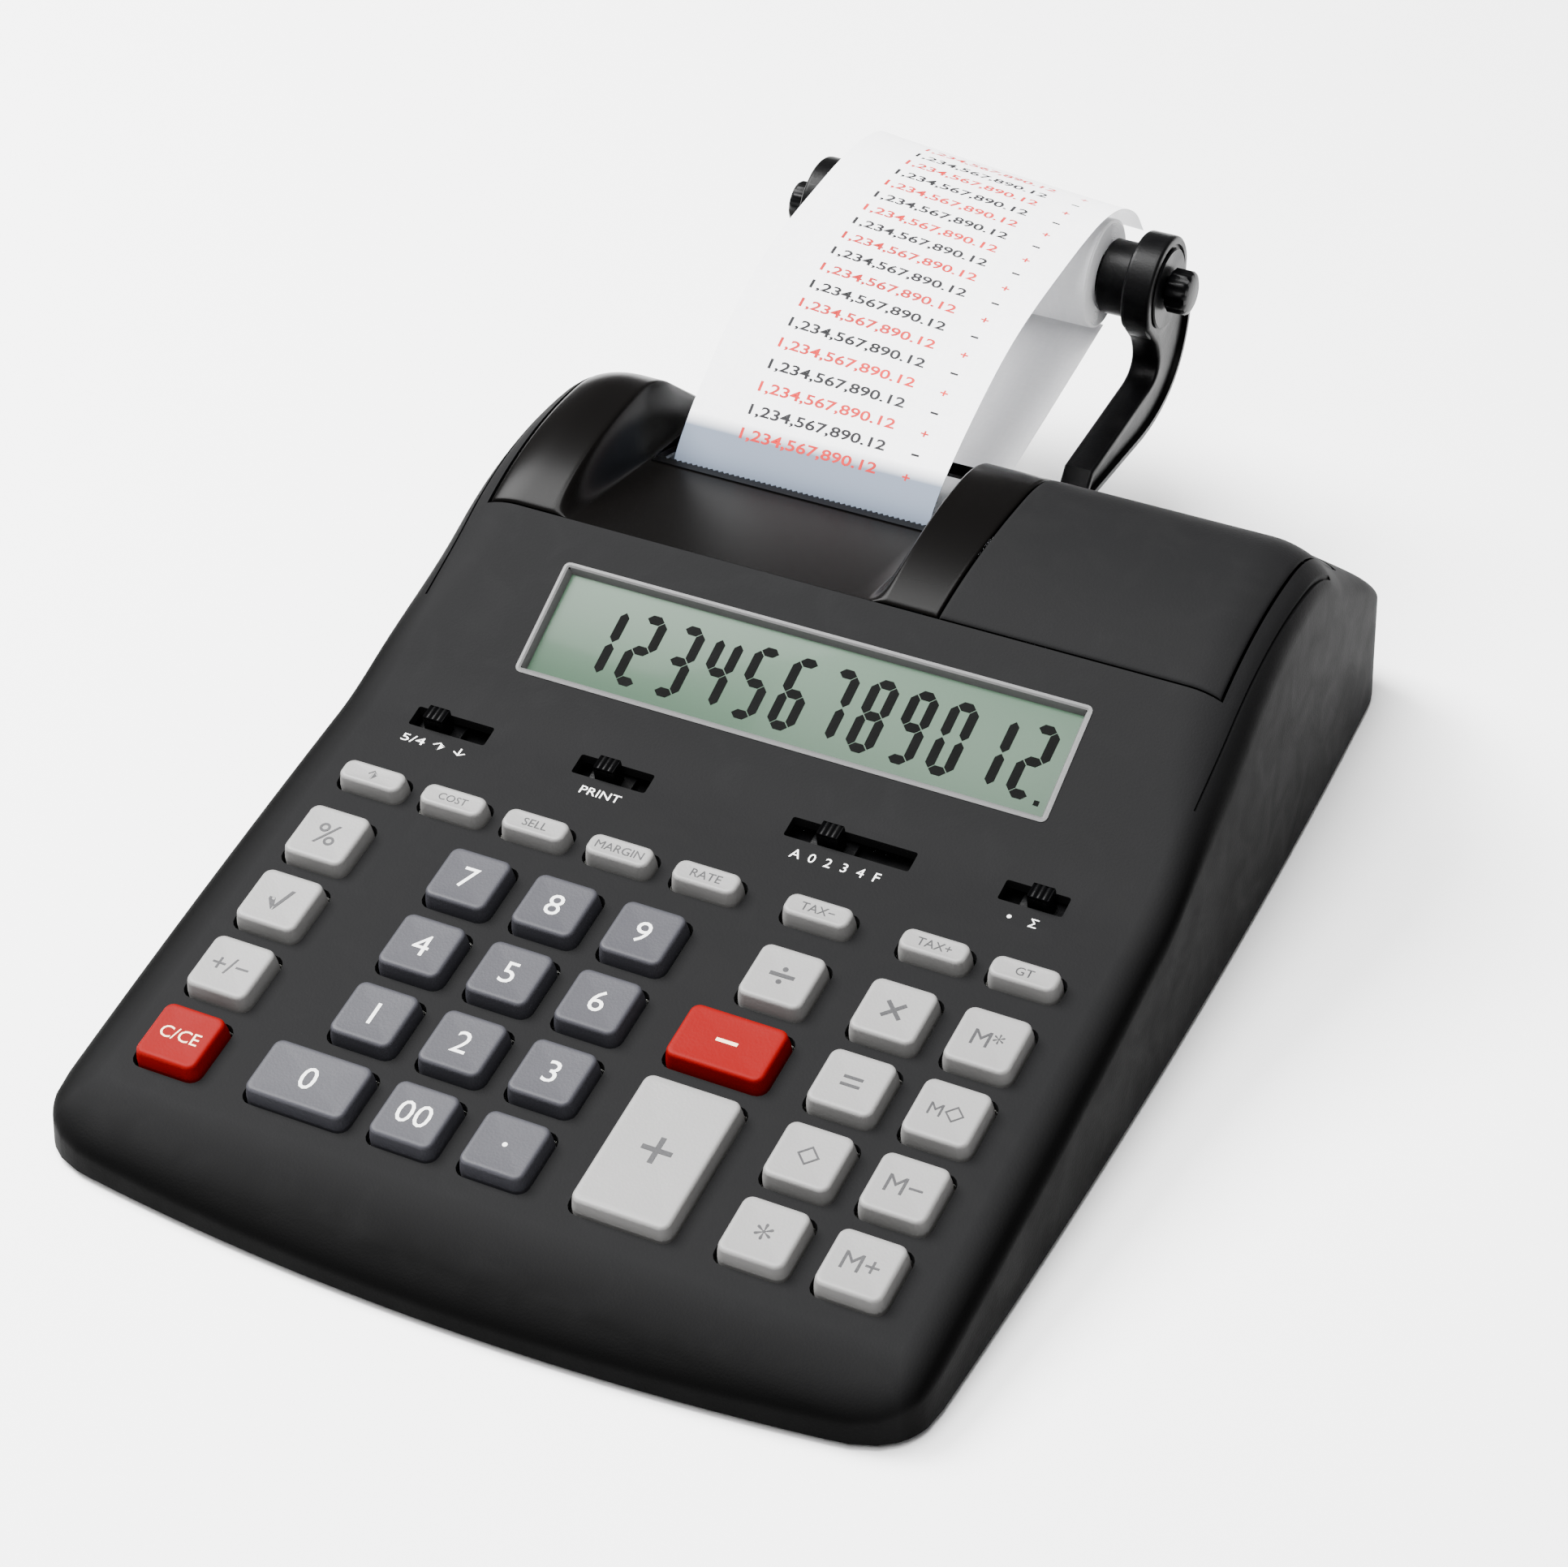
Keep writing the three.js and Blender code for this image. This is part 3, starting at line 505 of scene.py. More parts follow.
# ---- keys ---------------------------------------------------------------------------------------
# node: (across in columns, up in rows, width, depth, finish, legend, legend height)
KEY_COLUMNS = (-3.77, -2.1, -1.1, -0.1, 1.45, 2.66, 3.66)
KEY_SIZE = (12.9, 12.95)
SMALL_KEY = (13.3, 5.2)


def key_list():
    """Every key with its place in the two grids of the keyboard."""
    keys = {}
    numbers = [("7", 0, 1), ("8", 0, 2), ("9", 0, 3), ("4", 1, 1), ("5", 1, 2), ("6", 1, 3),
               ("1", 2, 1), ("2", 2, 2), ("3", 2, 3), ("00", 3, 2)]
    for legend, row, column in numbers:
        keys["key_" + legend] = (KEY_COLUMNS[column], -row, *KEY_SIZE, "number", legend, 5.0)
    keys["key_point"] = (KEY_COLUMNS[3], -3, *KEY_SIZE, "number", ".", 1.0)
    keys["key_0"] = (-2.29, -3, 20.6, KEY_SIZE[1], "number", "0", 5.0)
    light = [("percent", 0, 0, "%", 5.2), ("root", 1, 0, "√", 5.4), ("sign", 2, 0, "+/−", 4.0),
             ("divide", 0, 4, "÷", 4.2), ("multiply", 0, 5, "×", 4.2), ("equals", 1, 5, "=", 2.4),
             ("subtotal", 2, 5, "◇", 4.4), ("total", 3, 5, "*", 3.6), ("memory_total", 0, 6, "M*", 3.8),
             ("memory_subtotal", 1, 6, "M◇", 3.8), ("memory_minus", 2, 6, "M−", 3.8),
             ("memory_plus", 3, 6, "M+", 3.8)]
    for name, row, column, legend, height in light:
        keys["key_" + name] = (KEY_COLUMNS[column], -row, *KEY_SIZE, "light", legend, height)
    keys["key_plus"] = (1.29, -2.5, 19.3, 30.7, "light", "+", 6.0)
    keys["key_minus"] = (1.32, -1, 19.6, KEY_SIZE[1], "red", "−", 0.75)
    keys["key_clear"] = (KEY_COLUMNS[0], -3, *KEY_SIZE, "red", "C/CE", 2.7)
    small = [("feed", -3.745, "↑", 2.4), ("cost", -2.78, "COST", 1.7), ("sell", -1.81, "SELL", 1.9),
             ("margin", -0.83, "MARGIN", 1.9), ("rate", 0.16, "RATE", 1.9),
             ("tax_minus", 1.41, "TAX−", 1.9),
             ("tax_plus", 2.685, "TAX+", 1.9), ("grand_total", 3.655, "GT", 1.9)]
    for name, across, legend, height in small:
        keys["key_" + name] = (across, 0.943, *SMALL_KEY, "light", legend, height)
    return keys


def key_cap(width, depth, dish):
    """A key: a flared foot, walls that lean in to the top, a quarter-circle rim, and a top that
    sinks by dish towards its middle as the square of the distance from the edge."""
    radius = min(1.9, depth / 2.6)
    level = np.array([-2.2, 0.0, 1.2])
    grow = np.array([0.45, 0.38, 0.22])
    turn = np.radians([0, 22, 45, 68, 90])
    rim = 0.75
    grow = np.concatenate([grow, -rim * (1 - np.cos(turn))])
    level = np.concatenate([level, KEY_RISE - rim * (1 - np.sin(turn))])
    rings = [np.concatenate([rounded_rectangle(width + 2 * g, depth + 2 * g, radius + g, 5),
                             np.full((24, 1), z)], 1) for g, z in zip(grow, level)]
    edge = rings[-1]
    for share in (0.93, 0.8, 0.62, 0.42, 0.2, 0.06):
        inner = edge * np.array([share, share, 1])
        inner[:, 2] = KEY_RISE - dish * (1 - share ** 2)
        rings.append(inner)
    return tube(np.stack(rings))


# ---- printer cover --------------------------------------------------------------------------------
SCOOP = (-60.2, 4.8)          # the low strip's two ends
SCOOP_WALL = 4.4              # width of the slopes beside it
TEAR_Y, TEAR_Z = 42.3, 50.0


def gloss_edge(y):
    """Where the glossy part of the cover ends: a shallow arc that leans to the right."""
    t = (y - HUMP_FRONT_Y) / (COVER_BACK - HUMP_FRONT_Y)
    return 20.3 + 2.6 * t + 1.2 * np.sin(t * math.pi)


def lip(distance):
    """Rounded edge of a cover part: a quarter circle of 0.7 mm that drops by half of that."""
    return 0.35 * (1 - np.sqrt(np.clip(1 - np.clip(1 - distance / 0.7, 0, 1) ** 2, 0, 1)))


def edge_steps(low, high, count):
    """Even steps between two edges, with four close ones inside each edge."""
    near = np.array([0, 0.12, 0.35, 0.75])
    return np.concatenate([low + near, np.linspace(low + 1.4, high - 1.4, count), high - near[::-1]])


def cover_rows():
    """The cover's rows from front to back, one of them on the tear edge."""
    low, high = HUMP_FRONT_Y + SEAM, COVER_BACK - SEAM
    rows = edge_steps(low, high, 72)
    return np.sort(np.append(rows[np.abs(rows - TEAR_Y) > 0.3], TEAR_Y))


def cover_heights(x, y):
    """The skin's height with the cover's front and rear edges rounded."""
    low, high = HUMP_FRONT_Y + SEAM, COVER_BACK - SEAM
    return skin_z(x, y) - lip(y - low) - lip(high - y)


def matt_cover():
    """Matt part of the cover: the case's own skin between the arc and the right seam."""
    rows = cover_rows()
    shares = edge_steps(0, COVER_HALF - SEAM - 23, 46) / (COVER_HALF - SEAM - 23)
    start = gloss_edge(rows)[:, None] + 0.22
    x = start + (COVER_HALF - SEAM - start) * shares[None]
    y = np.broadcast_to(rows[:, None], x.shape)
    z = cover_heights(x, y) - lip(x - start) - lip(COVER_HALF - SEAM - x)
    return np.stack([x, y, z], -1).reshape(-1, 3), grid_faces(*x.shape, closed=False)


def gloss_cover():
    """Glossy part: the same skin, sunk to a low strip in front of the paper. The strip falls evenly
    from the front seam to the tear edge, and an S-shaped slope joins it to the skin at each end.
    Behind the tear edge the strip is left open for the paper."""
    rows = cover_rows()
    left, right = SCOOP
    fixed = np.concatenate([edge_steps(-COVER_HALF + SEAM, left - SCOOP_WALL, 9)[:-3],
                            np.linspace(left - SCOOP_WALL, left, 15)[:-1],
                            np.linspace(left, right, 24)[:-1],
                            np.linspace(right, right + SCOOP_WALL, 15)])
    last = fixed[-1]
    shares = edge_steps(0, 21.5 - last, 7)[1:] / (21.5 - last)
    end = gloss_edge(rows)[:, None] - 0.22
    x = np.concatenate([np.broadcast_to(fixed, (len(rows), len(fixed))),
                        last + (end - last) * shares[None]], 1)
    y = np.broadcast_to(rows[:, None], x.shape)
    skin = cover_heights(x, y) - lip(x + COVER_HALF - SEAM) - lip(end - x)
    strip = np.interp(y, [HUMP_FRONT_Y, TEAR_Y, COVER_BACK], [float(top_z(HUMP_FRONT_Y)) - 0.5, TEAR_Z, 47.0])
    rise = smoothstep(left - x, 0, SCOOP_WALL) + smoothstep(x - right, 0, SCOOP_WALL)
    z = strip + (skin - strip) * rise
    faces = grid_faces(*x.shape, closed=False)
    middle = np.stack([x, y], -1).reshape(-1, 2)[faces].mean(1)
    gap = (middle[:, 0] > left) & (middle[:, 0] < right) & (middle[:, 1] > TEAR_Y)
    points = np.stack([x, y, z], -1).reshape(-1, 3)
    return drop_loose(points, faces[~gap])


def drop_loose(points, faces):
    """Leaves out the points that no face uses."""
    used, number = np.unique(faces, return_inverse=True)
    return points[used], number.reshape(faces.shape)


def tear_bar():
    """A thin saw-toothed strip along the tear edge: triangles of 1.2 mm pitch and 0.8 mm height."""
    left, right = SCOOP
    count = int((right - left - 1) / 1.2)
    x = np.linspace(left + 0.5, right - 0.5, 2 * count + 1)
    tooth = np.where(np.arange(len(x)) % 2 == 1, 1.35, 0.55)
    outline = np.concatenate([[[x[0], -1.6], [x[-1], -1.6]], np.stack([x, tooth], 1)[::-1]])
    rings = np.stack([np.concatenate([outline, np.full((len(outline), 1), h)], 1) for h in (-0.1, 0.22)])
    fall = math.atan2(TEAR_Z - float(top_z(HUMP_FRONT_Y)), TEAR_Y - HUMP_FRONT_Y)
    return tube(on_plane(rings, TEAR_Y - 0.7, TEAR_Z + 0.12, fall))


# ---- display -----------------------------------------------------------------------------------
WINDOW = (112.4, 24.4)
WINDOW_UP = 24.0
GLASS_LEVEL = -1.5
LIT = {"0": "abcdef", "1": "bc", "2": "abged", "3": "abgcd", "4": "fgbc", "5": "afgcd",
       "6": "afgcde", "7": "abc", "8": "abcdefg", "9": "abcdfg"}


def band(outline, section, place):
    """A closed frame: a section of (outwards, up) rows carried round an anticlockwise outline."""
    n = outward(outline)
    rings = np.stack([np.concatenate([outline + n * out, np.full((len(outline), 1), up)], 1)
                      for out, up in section])
    count, columns = rings.shape[:2]
    faces = grid_faces(count + 1, columns) % (count * columns)
    return place(rings).reshape(-1, 3), faces


def segment_outlines(width, height, stroke):
    """The seven bars of a digit as six-cornered outlines, each one a hair apart from the next."""
    gap, half = 0.14, stroke / 2
    x0, x1, y0, y1, y2 = half, width - half, half, height / 2, height - half

    def across(y):
        a, b = x0 + gap, x1 - gap
        return [[a, y], [a + half, y - half], [b - half, y - half],
                [b, y], [b - half, y + half], [a + half, y + half]]

    def upright(x, low, high):
        a, b = low + gap, high - gap
        return [[x, a], [x + half, a + half], [x + half, b - half],
                [x, b], [x - half, b - half], [x - half, a + half]]

    return {"a": across(y2), "g": across(y1), "d": across(y0), "b": upright(x1, y1, y2),
            "c": upright(x1, y0, y1), "f": upright(x0, y1, y2), "e": upright(x0, y0, y1)}


def display_digits(text):
    """Twelve digits and a point on the glass, upright bars with a slight lean to the right."""
    pitch, width, height, stroke, slant = 8.37, 5.9, 16.2, 1.95, 0.04
    outlines = segment_outlines(width, height, stroke)
    bars = []
    for place, digit in enumerate(text):
        right = DIGITS_RIGHT - pitch * (len(text) - 1 - place)
        for name in LIT[digit]:
            outline = np.array(outlines[name])
            x = right - width + outline[:, 0] + slant * outline[:, 1]
            bars.append(np.stack([x, outline[:, 1] + DIGITS_UP], 1))
    point = np.array([[0.6, -0.4], [1.7, -0.4], [1.7, 0.7], [0.6, 0.7]])
    bars.append(point + np.array([DIGITS_RIGHT, DIGITS_UP]))
    parts = []
    for outline in bars:
        rings = np.stack([np.concatenate([outline, np.full((len(outline), 1), GLASS_LEVEL + h)], 1)
                          for h in (-0.05, 0.05)])
        parts.append(tube(on_panel(rings)))
    return join_parts(*parts)


# ---- paper -------------------------------------------------------------------------------------
def paper_path():
    """Side view of the tape: from the roll's underside to the platen, round it, up past the tear
    edge and over in a long curl to the back."""
    wrap = PLATEN_R + 0.6 + 0.17
    a = np.radians(np.arange(-20, -171, -15))
    round_platen = np.stack([PLATEN_Y + wrap * np.cos(a), PLATEN_Z + wrap * np.sin(a)], 1)
    before = [(SPINDLE_Y, SPINDLE_Z - 12.6), (110, 42.8), (84, 37.3), (70, 34)]
    after = [(42.7, 42), (44.6, 49.2), (50, 54.8), (58, 60.4), (68, 66), (80, 71), (94, 75), (108, 77.4),
             (122, 78.4), (134, 77.8), (145, 74.8), (153, 69.4), (157.6, 62.6)]
    return smooth_curve(np.concatenate([before, round_platen, after]), 260)


PATH = paper_path()
PATH_LENGTH = np.concatenate([[0], np.cumsum(np.linalg.norm(np.diff(PATH, axis=0), axis=1))])
FREE_START = float(PATH_LENGTH[np.argmax((PATH[:, 1] > 42) & (PATH[:, 0] < 46))])


def on_tape(across, along, lift):
    """Points on the tape: across from its middle, along its path, and lift off its face. The left
    edge rides up and the right edge down, growing smoothly with height, and the edges lift in a
    slight curl."""
    across, along = np.broadcast_arrays(across, along)
    y = np.interp(along, PATH_LENGTH, PATH[:, 0])
    z = np.interp(along, PATH_LENGTH, PATH[:, 1])
    slope = np.gradient(PATH, PATH_LENGTH, axis=0)
    ty = np.interp(along, PATH_LENGTH, slope[:, 0])
    tz = np.interp(along, PATH_LENGTH, slope[:, 1])
    share = across / (PAPER_WIDTH / 2)
    free = smoothstep(z, 50, 77)
    curl = 0.45 * free * share ** 4 * np.cos(along * 0.11)
    off = lift + curl
    return np.stack([PAPER_X + across, y - tz * off, z + ty * off - share * PAPER_TWIST * free], -1)


def tape_body():
    """The tape as a thin closed sheet: rings of an upper and a lower row of points along its path."""
    across = np.linspace(-PAPER_WIDTH / 2, PAPER_WIDTH / 2, 17)
    along = PATH_LENGTH
    upper = on_tape(across[None, :], along[:, None], 0.08)
    lower = on_tape(across[None, ::-1], along[:, None], -0.08)
    return tube(np.concatenate([lower, upper], 1))


def tape_print():
    """Printed lines as (red, black) bodies: an amount on every line with its sign beside it, the
    red lines plus and the black ones minus by turns."""
    inks = ([], [])
    amount = ("1,234,567,890.12", 2.8, 31.0, -1.2)
    signs = (("+", 1.5, 1.7, 21.0), ("−", 0.5, 1.7, 21.0))
    for line in range(PRINT_LINES):
        at = FREE_START + PRINT_START + PRINT_PITCH * line
        ink = inks[line % 2]
        for words, height, width, across in (amount, signs[line % 2]):
            points, faces = lettering(words, height, width, bold=0.02)
            placed = on_tape(across + points[:, 0], at + points[:, 1], 0.06 + 0.05 * points[:, 2])
            ink.append((placed, faces))
    return [join_parts(*ink) for ink in inks]


def paper_roll():
    """The roll: a turned body whose end faces carry fine rings of wound layers, about a hollow
    core."""
    half = PAPER_WIDTH / 2
    radii = np.linspace(6.2, 11.6, 28)
    face = half - 0.15 + 0.12 * np.cos(np.arange(28) * math.pi)
    right = [(PAPER_X + f, r) for f, r in zip(face, radii)]
    left = [(PAPER_X - f, r) for f, r in zip(face[::-1], radii[::-1])]
    profile = np.array([(PAPER_X - half + 0.4, 5.7), (PAPER_X + half - 0.4, 5.7), *right,
                        (PAPER_X + half - 0.3, 12.0), (PAPER_X - half + 0.3, 12.0), *left])
    return ring_body(profile, SPINDLE_Y, SPINDLE_Z, 72)


def ring_body(profile, y, z, steps):
    """A closed profile of (x, radius) rows turned about an axis along X, with a hole through it."""
    a = np.linspace(0, 2 * math.pi, steps, endpoint=False)
    rings = np.stack([np.broadcast_to(profile[:, :1], (len(profile), steps)),
                      y + profile[:, 1:2] * np.cos(a), z + profile[:, 1:2] * np.sin(a)], -1)
    count = len(profile)
    return rings.reshape(-1, 3), (grid_faces(count + 1, steps) % (count * steps))[:, ::-1]


# ---- roll holder --------------------------------------------------------------------------------
def arm_outline():
    """Side view of an arm: a tab in the case, a level beam, an elbow and a round eye."""
    lower = bezier((126, 28.2), (151.5, 28.6), (152.2, 52), 14)
    eye = np.radians(np.linspace(-28, 208, 30))
    ring = np.stack([SPINDLE_Y + 11.5 * np.cos(eye), SPINDLE_Z + 11.5 * np.sin(eye)], 1)
    upper = bezier((131.5, 49.5), (137.0, 40.0), (126, 39.6), 12)
    keep = ring[(ring[:, 1] > 54) | (ring[:, 0] < 130)]
    return np.concatenate([[[88.2, 28.2], [93, 28.2], [96, 29.2]], lower, keep[keep[:, 0] < 147.4], upper,
                           [[97, 36.6], [94, 32.8], [88.2, 32.8]]])


def arm_body(side):
    """An arm: a slab over its outline with hollowed faces, a stepped drum round the eye and a boss
    that reaches to the end of the roll."""
    middle = ARM_MIDDLE + side * ARM_HALF
    low, high = middle - ARM_WIDTH / 2, middle + ARM_WIDTH / 2
    slab_part = plate(arm_outline(), low + 0.4, high - 0.4, 0.7, along_x, pocket=(1.7, 1.1))
    drum = lathe([(low, 3.6), (low, 8.6), (low + 0.3, 8.9), (low + 0.9, 8.9), (low + 1.0, 11.1),
                  (low + 1.4, 11.5), (high - 1.4, 11.5), (high - 1.0, 11.1), (high - 0.9, 8.9),
                  (high - 0.3, 8.9), (high, 8.6), (high, 3.6)], SPINDLE_Y, SPINDLE_Z, 64)
    start = middle - side * (ARM_WIDTH / 2 - 0.5)
    stop = PAPER_X + side * (PAPER_WIDTH / 2 + 0.8)
    rows = [(start, 3.6), (start, 8.2), (stop + side * 0.5, 8.2), (stop, 7.7), (stop, 3.6)]
    return slab_part, drum, lathe(rows if side < 0 else rows[::-1], SPINDLE_Y, SPINDLE_Z, 64)


def spindle_body():
    """The spindle: a bar with a thicker middle, two flanges against the roll and a fluted knob at
    each end."""
    ends = ARM_HALF + 9
    left, right = ARM_MIDDLE - ends, ARM_MIDDLE + ends
    knob = 5.0
    near = [(left, 3.6), (left + 0.4, 4.5), (left + 1.2, knob, 1), (left + 4.4, knob, 1), (left + 4.9, 4.4),
            (left + 5.0, 2.6), (PAPER_X - 30, 2.6), (PAPER_X - 30, 4.0)]
    far = [(PAPER_X + 30, 4.0), (PAPER_X + 30, 2.6), (right - 5.0, 2.6), (right - 4.9, 4.4),
           (right - 4.4, knob, 1), (right - 1.2, knob, 1), (right - 0.4, 4.5), (right, 3.6)]
    return lathe(near + far, SPINDLE_Y, SPINDLE_Z, 72, flutes=12, depth=0.45)


# ---- small parts ---------------------------------------------------------------------------------
def switch_knob(middle):
    """A slide switch: a foot under the keyboard surface and a knob whose top carries four ridges."""
    x = np.linspace(-2.3, 2.3, 33)
    ridge = 2.2 + 0.4 * np.abs(np.cos(x / 4.6 * 4 * math.pi))
    ridge[[0, -1]] = 1.9
    outline = np.concatenate([[[-2.3, -2.6], [2.3, -2.6]], np.stack([x, ridge], 1)[::-1]])
    turn = lambda p: on_deck(np.stack([p[..., 0] + middle, SWITCH_V - p[..., 2], p[..., 1]], -1))
    knob = plate(outline, -1.75, 1.75, 0.25, turn)
    foot = rounded_rectangle(9.4, 6.8, 0.8, 3)
    level = lambda p: on_deck(p + np.array([middle, SWITCH_V, 0]))
    return knob, plate(foot, -3.55, -2.65, 0.2, level)


def printed_words(words, place, across, up, height, width=None, face=0.0, bold=0.0):
    """Letters printed on a sloping surface, 0.05 mm proud of it."""
    points, faces = lettering(words, height, width, bold=bold)
    points = np.stack([points[:, 0] + across, points[:, 1] + up, face - 0.03 + 0.08 * points[:, 2]], 1)
    return place(points), faces


def foot_strip(y, half):
    """A rubber strip under the base with round ends and rolled edges."""
    outline = rounded_rectangle(half * 2, 9, 4.4, 10) + np.array([0, y])
    return plate(outline, 0.0, 1.6, 0.5)


def screw_head(x, y):
    """A round-headed screw in the base: a turned dome with a cross cut as a dip towards two lines."""
    a = np.linspace(0, 2 * math.pi, 40, endpoint=False)[None, :]
    r = np.array([0.15, 0.7, 1.3, 1.7, 2.1, 2.6, 3.0, 3.2])[:, None]
    dome = 1.05 - 0.7 * np.sqrt(1 - (r / 3.6) ** 2)
    px, py = r * np.cos(a), r * np.sin(a)
    cross = 0.7 * ((np.minimum(np.abs(px), np.abs(py)) < 0.45) & (r < 2.0))
    rings = np.stack([x + px, y + py, dome + cross], -1)
    back = rings[-1:].copy()
    back[..., 2] = 2.2
    return tube(np.concatenate([back, rings[::-1]]))


# ---- finishes --------------------------------------------------------------------------------------
def add_node(tree, kind, values=None, **settings):
    """A node with its settings, whose named sockets are given values or linked from sockets."""
    node = tree.nodes.new(kind)
    for key, value in settings.items():
        setattr(node, key, value)
    for key, value in (values or {}).items():
        if isinstance(value, bpy.types.NodeSocket):
            tree.links.new(value, node.inputs[key])
        else:
            node.inputs[key].default_value = value
    return node


def maths(tree, operation, a, b=0.0):
    """One sum of two numbers or sockets."""
    return add_node(tree, "ShaderNodeMath", {0: a, 1: b}, operation=operation).outputs[0]


def object_place(tree):
    """The place on the object, as a vector and as a node with x, y and z apart."""
    at = add_node(tree, "ShaderNodeTexCoord").outputs["Object"]
    return at, add_node(tree, "ShaderNodeSeparateXYZ", {0: at})


def mixed(tree, share, a, b, blend="MIX"):
    """One colour laid over another by share."""
    node = add_node(tree, "ShaderNodeMix", {0: share, 6: a, 7: b}, data_type="RGBA", blend_type=blend)
    return node.outputs[2]


def ranged(tree, value, low, high, to_low, to_high):
    """A value carried from one range to another, held at its ends."""
    node = add_node(tree, "ShaderNodeMapRange", {0: value, 1: low, 2: high, 3: to_low, 4: to_high})
    return node.outputs[0]


def effect(name, inputs, outputs, build):
    """A shader node group with named sockets, built once. build(tree, inputs) gives the outputs."""
    tree = bpy.data.node_groups.new(name, "ShaderNodeTree")
    for socket_name, kind, value in inputs:
        socket = tree.interface.new_socket(socket_name, in_out="INPUT", socket_type=kind)
        socket.default_value = value
    for socket_name, kind in outputs:
        tree.interface.new_socket(socket_name, in_out="OUTPUT", socket_type=kind)
    source = tree.nodes.new("NodeGroupInput")
    made = build(tree, source.outputs)
    add_node(tree, "NodeGroupOutput", made)
    return tree


def grain_effect():
    """Spark-eroded mould grain: fine cells and noise for height, a slow drift in colour and
    roughness, and a little pale dust on faces that look up."""
    def build(tree, given):
        at = add_node(tree, "ShaderNodeTexCoord").outputs["Object"]
        fine = add_node(tree, "ShaderNodeTexNoise", {"Vector": at, "Scale": given["Scale"], "Detail": 3.0})
        cells = add_node(tree, "ShaderNodeTexVoronoi",
                         {"Vector": at, "Scale": maths(tree, "MULTIPLY", given["Scale"], 0.8)})
        drift = add_node(tree, "ShaderNodeTexNoise", {"Vector": at, "Scale": 22.0, "Detail": 4.0})
        smear = add_node(tree, "ShaderNodeTexNoise", {"Vector": at, "Scale": 95.0, "Detail": 5.0,
                                                      "Distortion": 0.8})
        even = ranged(tree, drift.outputs[0], 0.3, 0.7, -1.0, 1.0)
        shade = maths(tree, "ADD", 1.0, maths(tree, "MULTIPLY", even, given["Shade"]))
        speck = maths(tree, "MULTIPLY", ranged(tree, fine.outputs[0], 0.3, 0.7, -0.5, 0.5), given["Shade"])
        bright = maths(tree, "ADD", shade, speck)
        toned = mixed(tree, 1.0, given["Colour"], add_node(
            tree, "ShaderNodeCombineColor", {0: bright, 1: bright, 2: bright}).outputs[0], "MULTIPLY")
        up = add_node(tree, "ShaderNodeSeparateXYZ",
                      {0: add_node(tree, "ShaderNodeNewGeometry").outputs["Normal"]}).outputs[2]
        settled = maths(tree, "MULTIPLY", ranged(tree, up, 0.55, 0.98, 0.0, 1.0),
                        ranged(tree, smear.outputs[0], 0.48, 0.72, 0.0, 1.0))
        dust = maths(tree, "MULTIPLY", settled, given["Dust"])
        dusty = mixed(tree, dust, toned, (0.42, 0.41, 0.39, 1.0))
        rough = maths(tree, "ADD", given["Roughness"], maths(tree, "MULTIPLY", ranged(
            tree, smear.outputs[0], 0.3, 0.7, -1.0, 1.0), given["Spread"]))
        rough = maths(tree, "ADD", rough, maths(tree, "MULTIPLY", dust, 0.5))
        height = maths(tree, "ADD", fine.outputs[0], maths(tree, "MULTIPLY", cells.outputs[0], 0.7))
        return {"Colour": dusty, "Roughness": rough, "Height": height}

    return effect("Mould grain", [("Colour", "NodeSocketColor", (0.5, 0.5, 0.5, 1)),
                                  ("Shade", "NodeSocketFloat", 0.05), ("Scale", "NodeSocketFloat", 2200.0),
                                  ("Roughness", "NodeSocketFloat", 0.5), ("Spread", "NodeSocketFloat", 0.04),
                                  ("Dust", "NodeSocketFloat", 0.0)],
                  [("Colour", "NodeSocketColor"), ("Roughness", "NodeSocketFloat"),
                   ("Height", "NodeSocketFloat")], build)


def fibre_effect():
    """Paper fibres: stretched noise in two directions for colour and height."""
    def build(tree, given):
        at = add_node(tree, "ShaderNodeTexCoord").outputs["Object"]
        long = add_node(tree, "ShaderNodeMapping", {"Vector": at, "Scale": (500.0, 90.0, 90.0)})
        wide = add_node(tree, "ShaderNodeMapping", {"Vector": at, "Scale": (120.0, 600.0, 600.0)})
        one = add_node(tree, "ShaderNodeTexNoise", {"Vector": long.outputs[0], "Scale": 3.0, "Detail": 5.0})
        two = add_node(tree, "ShaderNodeTexNoise", {"Vector": wide.outputs[0], "Scale": 3.0, "Detail": 5.0})
        fibre = maths(tree, "ADD", maths(tree, "MULTIPLY", one.outputs[0], 0.5),
                      maths(tree, "MULTIPLY", two.outputs[0], 0.5))
        tone = ranged(tree, fibre, 0.35, 0.65, 0.0, 1.0)
        colour = mixed(tree, maths(tree, "MULTIPLY", tone, given["Shade"]), given["Colour"],
                       (0.55, 0.56, 0.60, 1.0))
        return {"Colour": colour, "Height": fibre}

    return effect("Paper fibre", [("Colour", "NodeSocketColor", (0.9, 0.9, 0.9, 1)),
                                  ("Shade", "NodeSocketFloat", 0.1)],
                  [("Colour", "NodeSocketColor"), ("Height", "NodeSocketFloat")], build)


def material(name, build):
    """A material whose shader build(tree, shader) feeds; build sets constants on the shader."""
    made = bpy.data.materials.new(name)
    made.use_nodes = True
    build(made.node_tree, made.node_tree.nodes["Principled BSDF"])
    return made


def bumped(tree, shader, height, distance, strength=0.6):
    """Joins a height to a shader's normal through a bump."""
    bump = add_node(tree, "ShaderNodeBump", {"Height": height, "Strength": strength, "Distance": distance})
    tree.links.new(bump.outputs[0], shader.inputs["Normal"])


